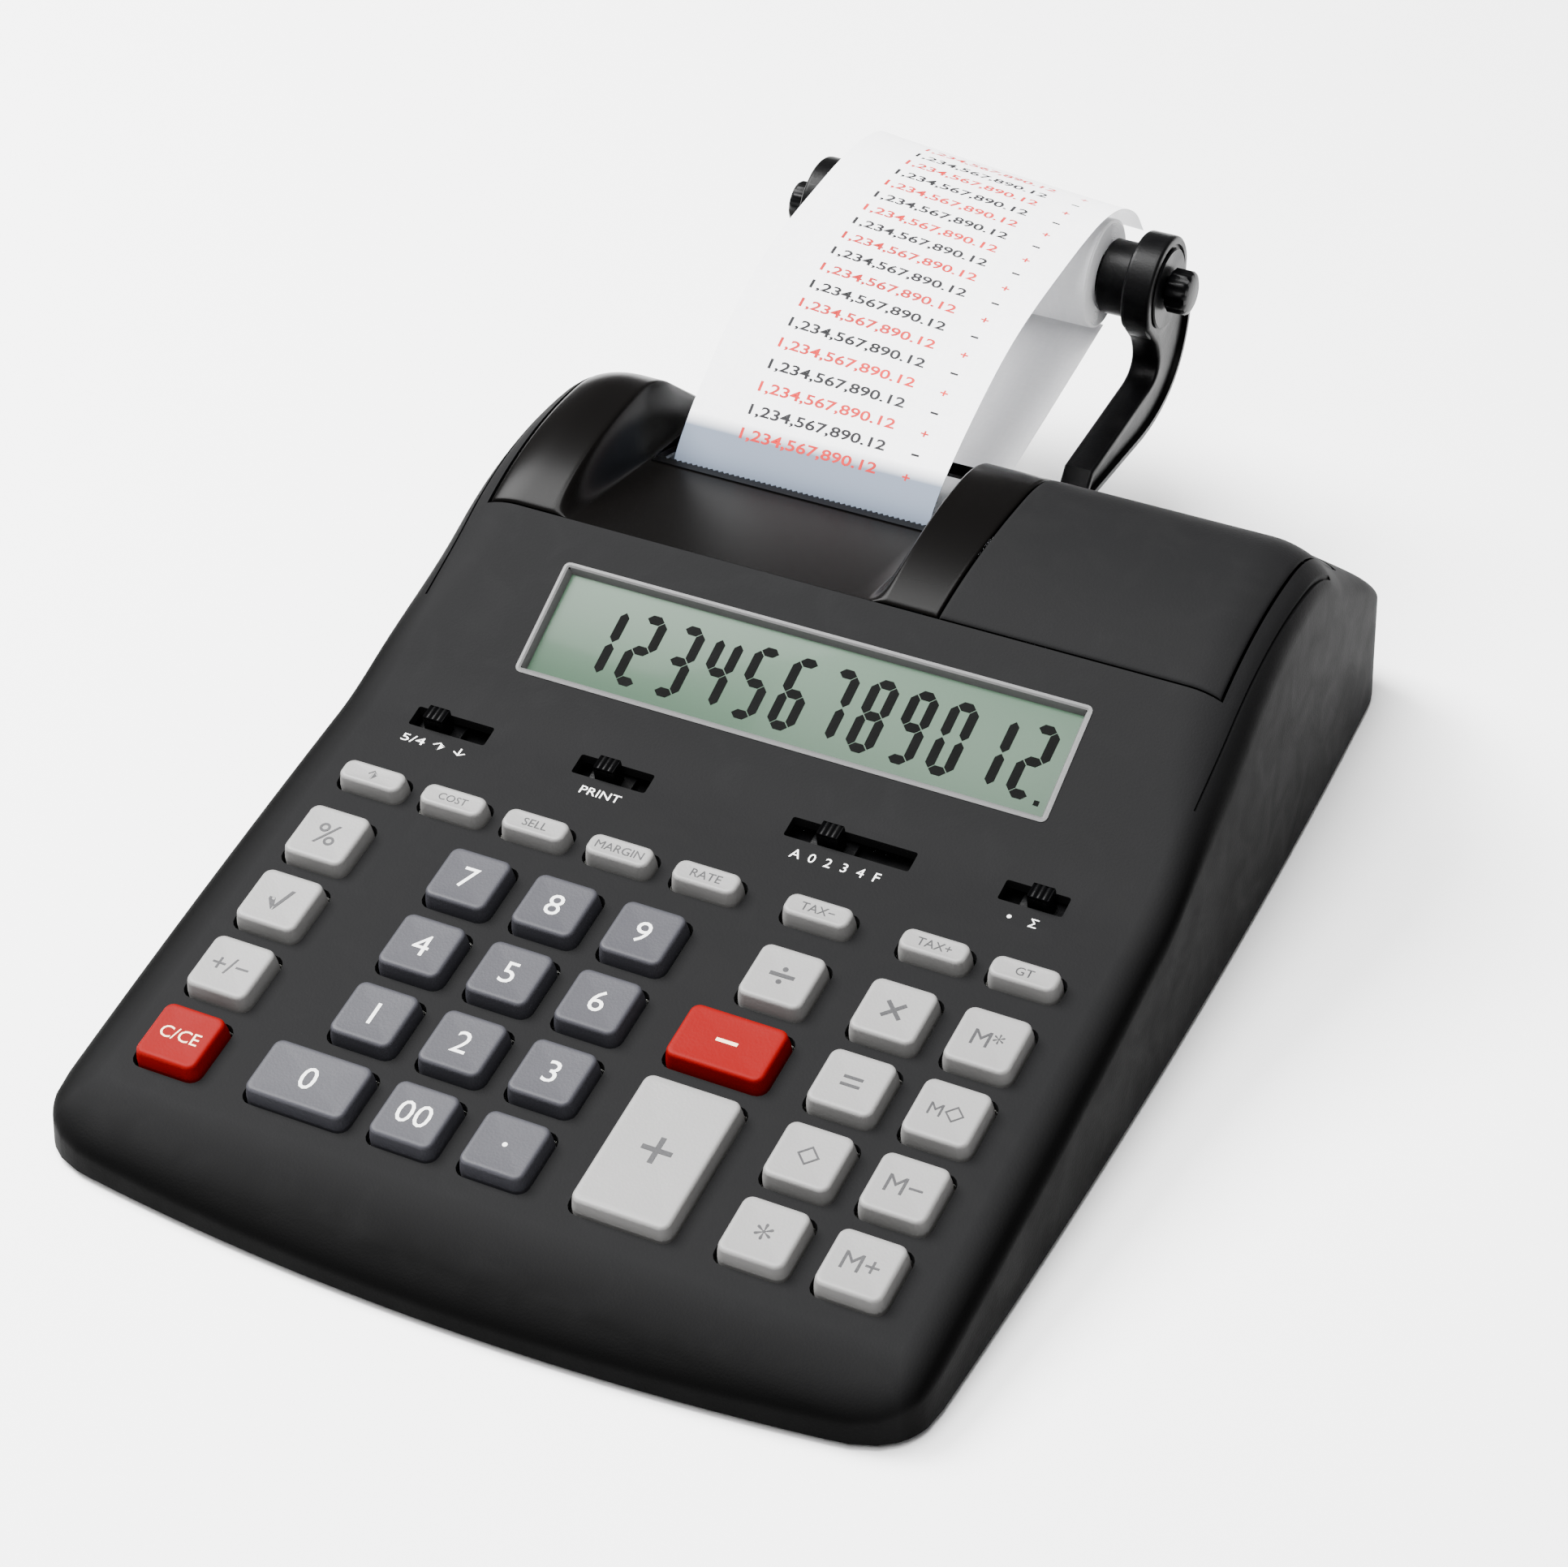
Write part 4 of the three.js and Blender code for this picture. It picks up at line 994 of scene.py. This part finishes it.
def moulded(name, colour, roughness, scale=2200.0, shade=0.05, spread=0.04, dust=0.0, relief=0.00003,
            coat=0.0, metal=0.0, gloss=0.3, grain=None, painted_side_shade=0.0):
    """Moulded plastic, rubber or metal with the mould-grain effect. A painted shade darkens the colour over a
    case's flanks and nose, standing for the shade that falls on them."""
    def build(tree, shader):
        group = add_node(tree, "ShaderNodeGroup", node_tree=grain)
        for key, value in (("Colour", linear(colour)), ("Shade", shade), ("Scale", scale),
                           ("Roughness", roughness), ("Spread", spread), ("Dust", dust)):
            group.inputs[key].default_value = value
        shown = group.outputs["Colour"]
        # Painted shade: the colour darkens over the flanks and the nose, where less light falls on the case.
        if painted_side_shade:
            _, part = object_place(tree)
            off_middle = maths(tree, "ABSOLUTE", part.outputs[0], 0.0)
            flank = ranged(tree, off_middle, *PAINTED_FLANK_SHADE, 0.0, painted_side_shade)
            nose = ranged(tree, part.outputs[1], *PAINTED_NOSE_SHADE, 0.0, painted_side_shade)
            shown = mixed(tree, maths(tree, "MAXIMUM", flank, nose), shown, linear((0.0, 0.0, 0.0)))
        tree.links.new(shown, shader.inputs["Base Color"])
        tree.links.new(group.outputs["Roughness"], shader.inputs["Roughness"])
        bumped(tree, shader, group.outputs["Height"], relief)
        shader.inputs["Metallic"].default_value = metal
        shader.inputs["Specular IOR Level"].default_value = gloss
        shader.inputs["Coat Weight"].default_value = coat
        shader.inputs["Coat Roughness"].default_value = 0.05

    return material(name, build)


def paper_finish(colour, fibre, shade):
    """White paper with fine fibres, and a painted blue-grey shadow on the tape's lowest part, behind the tear
    edge, where the cover's hump shades it."""
    def build(tree, shader):
        group = add_node(tree, "ShaderNodeGroup", node_tree=fibre)
        group.inputs["Colour"].default_value = linear(colour)
        group.inputs["Shade"].default_value = shade
        # Painted shadow: the lowest part of the tape turns blue-grey, standing for the shade of the cover's
        # hump.
        _, part = object_place(tree)
        low = ranged(tree, part.outputs[2], *PAINTED_TAPE_SHADOW_UP, 1.0, 0.0)
        ahead = ranged(tree, part.outputs[1], *PAINTED_TAPE_SHADOW_BACK, 1.0, 0.0)
        with_painted_shadow = mixed(tree, maths(tree, "MULTIPLY", low, ahead), group.outputs["Colour"],
                       linear(PAINTED_TAPE_SHADOW_COLOUR))
        tree.links.new(with_painted_shadow, shader.inputs["Base Color"])
        bumped(tree, shader, group.outputs["Height"], 0.00003, 0.5)
        shader.inputs["Roughness"].default_value = 0.75
        shader.inputs["Sheen Weight"].default_value = 0.08

    return material("paper", build)


def glass_finish(colour):
    """Liquid crystal under glass: grey-green, a little darker towards the frame, faint cell dots,
    and a clear coat."""
    def build(tree, shader):
        at, part = object_place(tree)
        across = maths(tree, "ABSOLUTE", part.outputs[0])
        edge = ranged(tree, across, 0.048, 0.057, 0.0, 1.0)
        dots = add_node(tree, "ShaderNodeTexNoise", {"Vector": at, "Scale": 1800.0, "Detail": 2.0})
        cloud = add_node(tree, "ShaderNodeTexNoise", {"Vector": at, "Scale": 30.0, "Detail": 2.0})
        tone = maths(tree, "ADD", maths(tree, "MULTIPLY", dots.outputs[0], 0.25),
                     maths(tree, "MULTIPLY", cloud.outputs[0], 0.35))
        tone = maths(tree, "ADD", tone, maths(tree, "MULTIPLY", edge, 0.35))
        low = linear(colour)
        high = linear([c * 0.86 for c in colour])
        tree.links.new(mixed(tree, tone, low, high), shader.inputs["Base Color"])
        shader.inputs["Roughness"].default_value = 0.35
        shader.inputs["Specular IOR Level"].default_value = 0.1
        shader.inputs["Coat Weight"].default_value = 0.03
        shader.inputs["Coat Roughness"].default_value = 0.08

    return material("display_glass", build)


# ---- settings ---------------------------------------------------------------------------------------
def colour_property(name, description, default):
    return FloatVectorProperty(name=name, description=description, default=default, size=3,
                               subtype="COLOR", min=0, max=1)


class CaseSettings(PropertyGroup):
    wall: FloatProperty(name="Wall", description="Thickness of the moulded case", default=WALL * MM,
                        unit="LENGTH")
    case_colour: colour_property("Case", "Matt charcoal plastic of the case", (0.074, 0.074, 0.076))
    gloss_colour: colour_property("Gloss", "Glossy part of the printer cover", (0.02, 0.018, 0.017))
    base_colour: colour_property("Base", "Plastic of the underside", (0.08, 0.08, 0.085))


class KeySettings(PropertyGroup):
    dish: FloatProperty(name="Dish", description="How far a key's top sinks in the middle",
                        default=0.14 * MM, unit="LENGTH")
    number_colour: colour_property("Number keys", "Blue-grey number keys", (0.188, 0.188, 0.205))
    light_colour: colour_property("Light keys", "Warm grey function keys", (0.435, 0.432, 0.428))
    red_colour: colour_property("Red keys", "Clear and minus keys", (0.39, 0.0, 0.0))


class DisplaySettings(PropertyGroup):
    digits: StringProperty(name="Digits", description="Number shown, twelve digits", default="123456789012")
    glass_colour: colour_property("Glass", "Grey-green of the display", (0.165, 0.255, 0.19))


class PaperSettings(PropertyGroup):
    paper_colour: colour_property("Paper", "Tape and roll", (0.955, 0.955, 0.96))


class StageSettings(PropertyGroup):
    floor_colour: colour_property("Floor", "Pale floor", (0.97, 0.97, 0.97))
    light: FloatProperty(name="Light", description="Strength of all the lights", default=1.4, min=0)


FINISHES = {}


class DESK_OT_finishes(Operator):
    """Makes the materials that the pieces share"""
    bl_idname = "desk.finishes"
    bl_label = "Finishes"

    def execute(self, context):
        case, keys = context.scene.desk_case, context.scene.desk_keys
        grain, fibre = grain_effect(), fibre_effect()
        plain = {
            # The case plastic carries painted shade over its flanks and nose.
            "case_plastic": (case.case_colour, 0.62, dict(dust=0.002, relief=0.00004, shade=0.02, gloss=0.025,
                                                            painted_side_shade=0.93)),
            "gloss_plastic": (case.gloss_colour, 0.27, dict(scale=900.0, relief=0.000002, spread=0.0,
                                                            shade=0.01, gloss=0.04)),
            "base_plastic": (case.base_colour, 0.62, dict(relief=0.00006, gloss=0.06)),
            "number_plastic": (keys.number_colour, 0.45, dict(shade=0.03, dust=0.004, gloss=0.12)),
            "light_plastic": (keys.light_colour, 0.45, dict(shade=0.02)),
            "red_plastic": (keys.red_colour, 0.5, dict(shade=0.03, gloss=0.05)),
            "black_plastic": ((0.014, 0.014, 0.016), 0.36, dict(spread=0.06, dust=0.004, gloss=0.07)),
            "frame_plastic": ((0.30, 0.30, 0.30), 0.35, dict(gloss=0.15)),
            "rubber": ((0.05, 0.05, 0.05), 0.85, dict(scale=900.0, relief=0.00006)),
            "platen_rubber": ((0.045, 0.045, 0.05), 0.6, dict(scale=1500.0)),
            "steel": ((0.62, 0.63, 0.65), 0.34, dict(metal=1.0, scale=500.0, spread=0.12, shade=0.1)),
            "board_laminate": ((0.12, 0.36, 0.21), 0.45, dict(scale=250.0, shade=0.25)),
            "mat_rubber": ((0.62, 0.62, 0.60), 0.7, {}),
            "ink_sponge": ((0.42, 0.06, 0.07), 0.9, dict(scale=700.0, shade=0.3, relief=0.0002)),
            "white_print": ((0.86, 0.86, 0.85), 0.5, dict(shade=0.03)),
            "dark_print": ((0.10, 0.10, 0.11), 0.5, dict(shade=0.05)),
            "cream_print": ((0.93, 0.80, 0.66), 0.5, dict(shade=0.03)),
            "digit_film": ((0.004, 0.007, 0.005), 0.5, dict(shade=0.05, gloss=0.02)),
            "black_ink": ((0.08, 0.08, 0.09), 0.85, dict(scale=900.0, shade=0.35)),
            "red_ink": ((0.66, 0.05, 0.07), 0.85, dict(scale=900.0, shade=0.3)),
        }
        for name, (colour, roughness, extra) in plain.items():
            FINISHES[name] = moulded(name, colour, roughness, grain=grain, **extra)
        FINISHES["paper"] = paper_finish(context.scene.desk_paper.paper_colour, fibre, 0.16)
        FINISHES["display_glass"] = glass_finish(context.scene.desk_display.glass_colour)
        return {"FINISHED"}


class DESK_OT_case(Operator):
    """Makes the upper case with its openings, and the words printed on it"""
    bl_idname = "desk.case"
    bl_label = "Upper case"

    def execute(self, context):
        case = put_mesh("case_shell", *case_skin())
        thicken(case, context.scene.desk_case.wall / MM)
        holes = [slab((-COVER_HALF - SEAM, HUMP_FRONT_Y - SEAM, 30),
                      (COVER_HALF + SEAM, COVER_BACK + SEAM, 90)),
                 slab((PAPER_X - 31, 77, 28), (PAPER_X + 31, 89, 60)),
                 slab((51.7, 90, 5.7), (64.3, 120, 16.3)), side_groove(-82.4), side_groove(82.4)]
        for side in (-1, 1):
            middle = ARM_MIDDLE + side * ARM_HALF
            holes.append(slab((middle - 4.05, 80, 26.7), (middle + 4.05, 100, 33.4)))
        for across, up, width, depth, _, _, _ in key_list().values():
            holes.append(well((across * COLUMN, up * ROW), (width + 1.9, depth + 1.9), 2.4, on_deck, -6, 6))
        for middle, length, _ in SWITCHES.values():
            holes.append(well((middle, SWITCH_V), (length, 4.8), 0.5, on_deck, -6, 6))
        holes.append(well((0, WINDOW_UP), WINDOW, 0.7, on_panel, -8, 8))
        carve(case, put_mesh("case_cutter", *join_parts(*holes)))
        settle(case, "case", FINISHES["case_plastic"], ["top_case"])
        words = [("5/4 ↑ ↓", -63.8, 2.0, 14.2), ("PRINT", -27.0, 1.9, 8.6), ("•", 58.4, 0.9, None),
                 ("Σ", 63.3, 2.1, None)]
        parts = [printed_words(text, on_deck, across, 30.5, height, width)
                 for text, across, height, width in words]
        parts += [printed_words(mark, on_deck, 14.8 + 3.36 * place, 30.3, 2.2)
                  for place, mark in enumerate("A0234F")]
        settle(put_mesh("case_words", *join_parts(*parts)), "case", FINISHES["white_print"])
        beds = [plate(rounded_rectangle(length + 2.4, 7.4, 0.8, 3) + np.array([middle, SWITCH_V]),
                      -5.6, -4.4, 0.2, on_deck) for middle, length, _ in SWITCHES.values()]
        settle(put_mesh("switch_beds", *join_parts(*beds)), "case", FINISHES["black_plastic"])
        return {"FINISHED"}


class DESK_OT_base(Operator):
    """Finishes the base, and makes its rubber feet, screws and power inlet"""
    bl_idname = "desk.base"
    bl_label = "Base and feet"

    def execute(self, context):
        for node, finish in (("bottom_case", "base_plastic"), ("power_socket", "black_plastic")):
            dress(node, finish)
        for name, y, half in (("front_foot", -138, 66), ("rear_foot", 84, 58)):
            foot = put_mesh(name + "_strip", *foot_strip(y, half))
            settle(foot, "case", FINISHES["rubber"], [name])
        places = [(-70, -118), (70, -118), (-70, 60), (70, 60)]
        screws = put_mesh("base_screws", *join_parts(*[screw_head(x, y) for x, y in places]))
        settle(screws, "case", FINISHES["steel"])
        pin = lathe([(0, 0.02), (0.5, 0.5), (0.8, 0.8), (7.0, 0.8)], 0, 0, 20)
        points = np.stack([58 - pin[0][:, 1], 101.5 - pin[0][:, 0], 11 + pin[0][:, 2]], 1)
        settle(put_mesh("inlet_pin", points, [f[:, ::-1] if f.ndim == 2 else f[::-1] for f in pin[1]]),
               "case", FINISHES["steel"])
        return {"FINISHED"}


def dress(node, finish):
    """Gives a CAD node its material."""
    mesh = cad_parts[node].data
    mesh.materials.clear()
    mesh.materials.append(FINISHES[finish])


class DESK_OT_cover(Operator):
    """Makes the printer cover: its matt part, its glossy part and the tear bar"""
    bl_idname = "desk.cover"
    bl_label = "Printer cover"

    def execute(self, context):
        matt = thicken(put_mesh("cover_matt", *matt_cover()), 2.0, 50.0)
        settle(matt, "cover", FINISHES["case_plastic"], ["printer_cover"])
        gloss = thicken(put_mesh("cover_gloss", *gloss_cover()), 1.8, 50.0)
        settle(gloss, "cover", FINISHES["gloss_plastic"], ["cover_window"])
        bar = put_mesh("tear_bar", *tear_bar())
        settle(bar, "cover", FINISHES["black_plastic"])
        return {"FINISHED"}


class DESK_OT_display(Operator):
    """Makes the display: its frame, the glass and the digits"""
    bl_idname = "desk.display"
    bl_label = "Display"

    def execute(self, context):
        middle = np.array([0, WINDOW_UP])
        outline = rounded_rectangle(WINDOW[0] - 0.2, WINDOW[1] - 0.2, 0.6, 4) + middle
        section = [(0.75, -0.1), (0.7, 0.16), (0.1, 0.22), (-0.3, 0.05), (-1.0, -1.45), (-1.0, -2.3),
                   (-0.05, -2.3), (-0.05, -0.1)]
        edge = put_mesh("display_frame", *band(outline, section, on_panel), 28.0)
        settle(edge, "case", FINISHES["frame_plastic"])
        glass = plate(rounded_rectangle(WINDOW[0] - 0.4, WINDOW[1] - 0.4, 0.5, 3) + middle,
                      -4.9, GLASS_LEVEL, 0.1, on_panel)
        settle(put_mesh("display_glass", *glass), "case", FINISHES["display_glass"], ["lcd_panel"])
        digits = put_mesh("display_digits", *display_digits(context.scene.desk_display.digits))
        settle(digits, "case", FINISHES["digit_film"])
        return {"FINISHED"}


class DESK_OT_keys(Operator):
    """Makes every key with the sign printed on it"""
    bl_idname = "desk.keys"
    bl_label = "Keys"

    def execute(self, context):
        dish = context.scene.desk_keys.dish / MM
        finish = {"number": ("number_plastic", "number_key", "white_print"),
                  "light": ("light_plastic", "light_key", "dark_print"),
                  "red": ("red_plastic", "red_key", "cream_print")}
        for node, (across, up, width, depth, kind, legend, height) in key_list().items():
            plastic, slot_name, print_name = finish[kind]
            middle = np.array([across * COLUMN, up * ROW, 0])
            points, faces = key_cap(width, depth, dish)
            cap = put_mesh("cap_" + node[4:], on_deck(points + middle), faces)
            settle(cap, node, FINISHES[plastic], [node])
            points, faces = lettering(legend, height)
            share = np.maximum(np.abs(points[:, 0]) / (width / 2), np.abs(points[:, 1]) / (depth / 2))
            face = KEY_RISE - dish * (1 - share ** 2)
            points = np.stack([points[:, 0], points[:, 1], face - 0.02 + 0.08 * points[:, 2]], 1) + middle
            sign = put_mesh("sign_" + node[4:], on_deck(points), faces)
            settle(sign, node, FINISHES[print_name])
        return {"FINISHED"}


class DESK_OT_switches(Operator):
    """Makes the four slide switches"""
    bl_idname = "desk.switches"
    bl_label = "Slide switches"

    def execute(self, context):
        for node, (middle, _, knob) in SWITCHES.items():
            piece = put_mesh(node + "_knob", *join_parts(*switch_knob(middle + knob)))
            settle(piece, node, FINISHES["black_plastic"], [node])
        return {"FINISHED"}


class DESK_OT_paper(Operator):
    """Makes the tape with its printed lines, and the roll"""
    bl_idname = "desk.paper"
    bl_label = "Paper"

    def execute(self, context):
        tape = put_mesh("paper_strip", *tape_body())
        settle(tape, "case", FINISHES["paper"], ["paper_tape"])
        for name, ink, body in zip(("red_lines", "black_lines"), ("red_ink", "black_ink"), tape_print()):
            settle(put_mesh(name, *body), "case", FINISHES[ink])
        roll = put_mesh("paper_coil", *paper_roll(), 60.0)
        settle(roll, "roll", FINISHES["paper"], ["paper_roll"])
        return {"FINISHED"}


class DESK_OT_holder(Operator):
    """Makes the two arms and the spindle that hold the roll"""
    bl_idname = "desk.holder"
    bl_label = "Roll holder"

    def execute(self, context):
        for side, node in ((-1, "left_roll_arm"), (1, "right_roll_arm")):
            arm = put_mesh(node + "_moulding", *join_parts(*arm_body(side)))
            settle(arm, "case", FINISHES["black_plastic"], [node])
        spindle = put_mesh("spindle_bar", *spindle_body())
        settle(spindle, "roll", FINISHES["black_plastic"], ["roll_spindle"])
        return {"FINISHED"}


class DESK_OT_mechanism(Operator):
    """Finishes the printer mechanism, the circuit board and the key mat"""
    bl_idname = "desk.mechanism"
    bl_label = "Mechanism"

    def execute(self, context):
        for node, finish in (("main_board", "board_laminate"), ("key_mat", "mat_rubber"),
                             ("platen_roller", "platen_rubber"), ("motor_pinion", "steel"),
                             ("drive_motor", "steel"), ("printer_frame", "steel"),
                             ("print_head", "black_plastic"), ("ink_roller", "ink_sponge")):
            dress(node, finish)
        return {"FINISHED"}


class DESK_OT_stage(Operator):
    """Makes the floor, the lights, the surroundings and the camera"""
    bl_idname = "desk.stage"
    bl_label = "Floor, lights and camera"

    def execute(self, context):
        stage = context.scene.desk_stage
        corners = np.array([[-1, -1, 0], [1, -1, 0], [1, 1, 0], [-1, 1, 0]]) * FLOOR_HALF
        floor = put_mesh("floor", corners, np.array([[0, 1, 2, 3]]))
        floor.data.materials.append(moulded("floor_sheet", stage.floor_colour, 0.8, scale=60.0, shade=0.004,
                                            grain=bpy.data.node_groups["Mould grain"], relief=0.00001))
        world = bpy.data.worlds.new("surroundings")
        world.use_nodes = True
        world.node_tree.nodes["Background"].inputs[0].default_value = (1.0, 1.0, 1.0, 1.0)
        world.node_tree.nodes["Background"].inputs[1].default_value = 0.26 * stage.light
        context.scene.world = world
        for name, place, aim, size, watts in LAMPS:
            data = bpy.data.lights.new(name, "AREA")
            data.size = size
            data.energy = watts * stage.light
            lamp = bpy.data.objects.new(name, data)
            aim_at(lamp, place, aim)
            context.scene.collection.objects.link(lamp)
        data = bpy.data.cameras.new("camera")
        data.sensor_width = 36.0
        data.lens = LENS
        camera = bpy.data.objects.new("camera", data)
        turn, rise = map(math.radians, VIEW_ANGLES)
        back = np.array([math.sin(turn) * math.cos(rise), -math.cos(turn) * math.cos(rise), math.sin(rise)])
        camera.location = (np.array(VIEW_TARGET) + back * VIEW_DISTANCE).tolist()
        camera.rotation_euler = (math.pi / 2 - rise, 0.0, turn)
        context.scene.collection.objects.link(camera)
        context.scene.camera = camera
        return {"FINISHED"}


def aim_at(thing, place, aim):
    """Puts a light at a place and turns its face towards another."""
    thing.location = place
    dx, dy, dz = (a - p for a, p in zip(aim, place))
    thing.rotation_euler = (math.atan2(math.hypot(dx, dy), -dz), 0.0, math.atan2(dy, dx) - math.pi / 2)


class DESK_PT_calculator(Panel):
    """Lists the pieces of the calculator"""
    bl_idname = "DESK_PT_calculator"
    bl_label = "Desk calculator"
    bl_space_type = "VIEW_3D"
    bl_region_type = "UI"
    bl_category = "Calculator"

    def draw(self, context):
        for operator in OPERATORS:
            self.layout.operator(operator.bl_idname)


SETTINGS = {"desk_case": CaseSettings, "desk_keys": KeySettings, "desk_display": DisplaySettings,
            "desk_paper": PaperSettings, "desk_stage": StageSettings}
OPERATORS = (DESK_OT_finishes, DESK_OT_case, DESK_OT_base, DESK_OT_cover, DESK_OT_display, DESK_OT_keys,
             DESK_OT_switches, DESK_OT_paper, DESK_OT_holder, DESK_OT_mechanism, DESK_OT_stage)


def register():
    """Adds the settings, the operators and the panel."""
    for cls in (*SETTINGS.values(), *OPERATORS, DESK_PT_calculator):
        bpy.utils.register_class(cls)
    for name, cls in SETTINGS.items():
        setattr(bpy.types.Scene, name, PointerProperty(type=cls))


def unregister():
    """Takes them off again."""
    for name in SETTINGS:
        delattr(bpy.types.Scene, name)
    for cls in reversed((*SETTINGS.values(), *OPERATORS, DESK_PT_calculator)):
        bpy.utils.unregister_class(cls)


def main():
    """Makes the whole calculator."""
    register()
    bpy.ops.desk.finishes()
    bpy.ops.desk.case()
    bpy.ops.desk.base()
    bpy.ops.desk.cover()
    bpy.ops.desk.display()
    bpy.ops.desk.keys()
    bpy.ops.desk.switches()
    bpy.ops.desk.paper()
    bpy.ops.desk.holder()
    bpy.ops.desk.mechanism()
    bpy.ops.desk.stage()


if __name__ == "__main__":
    main()
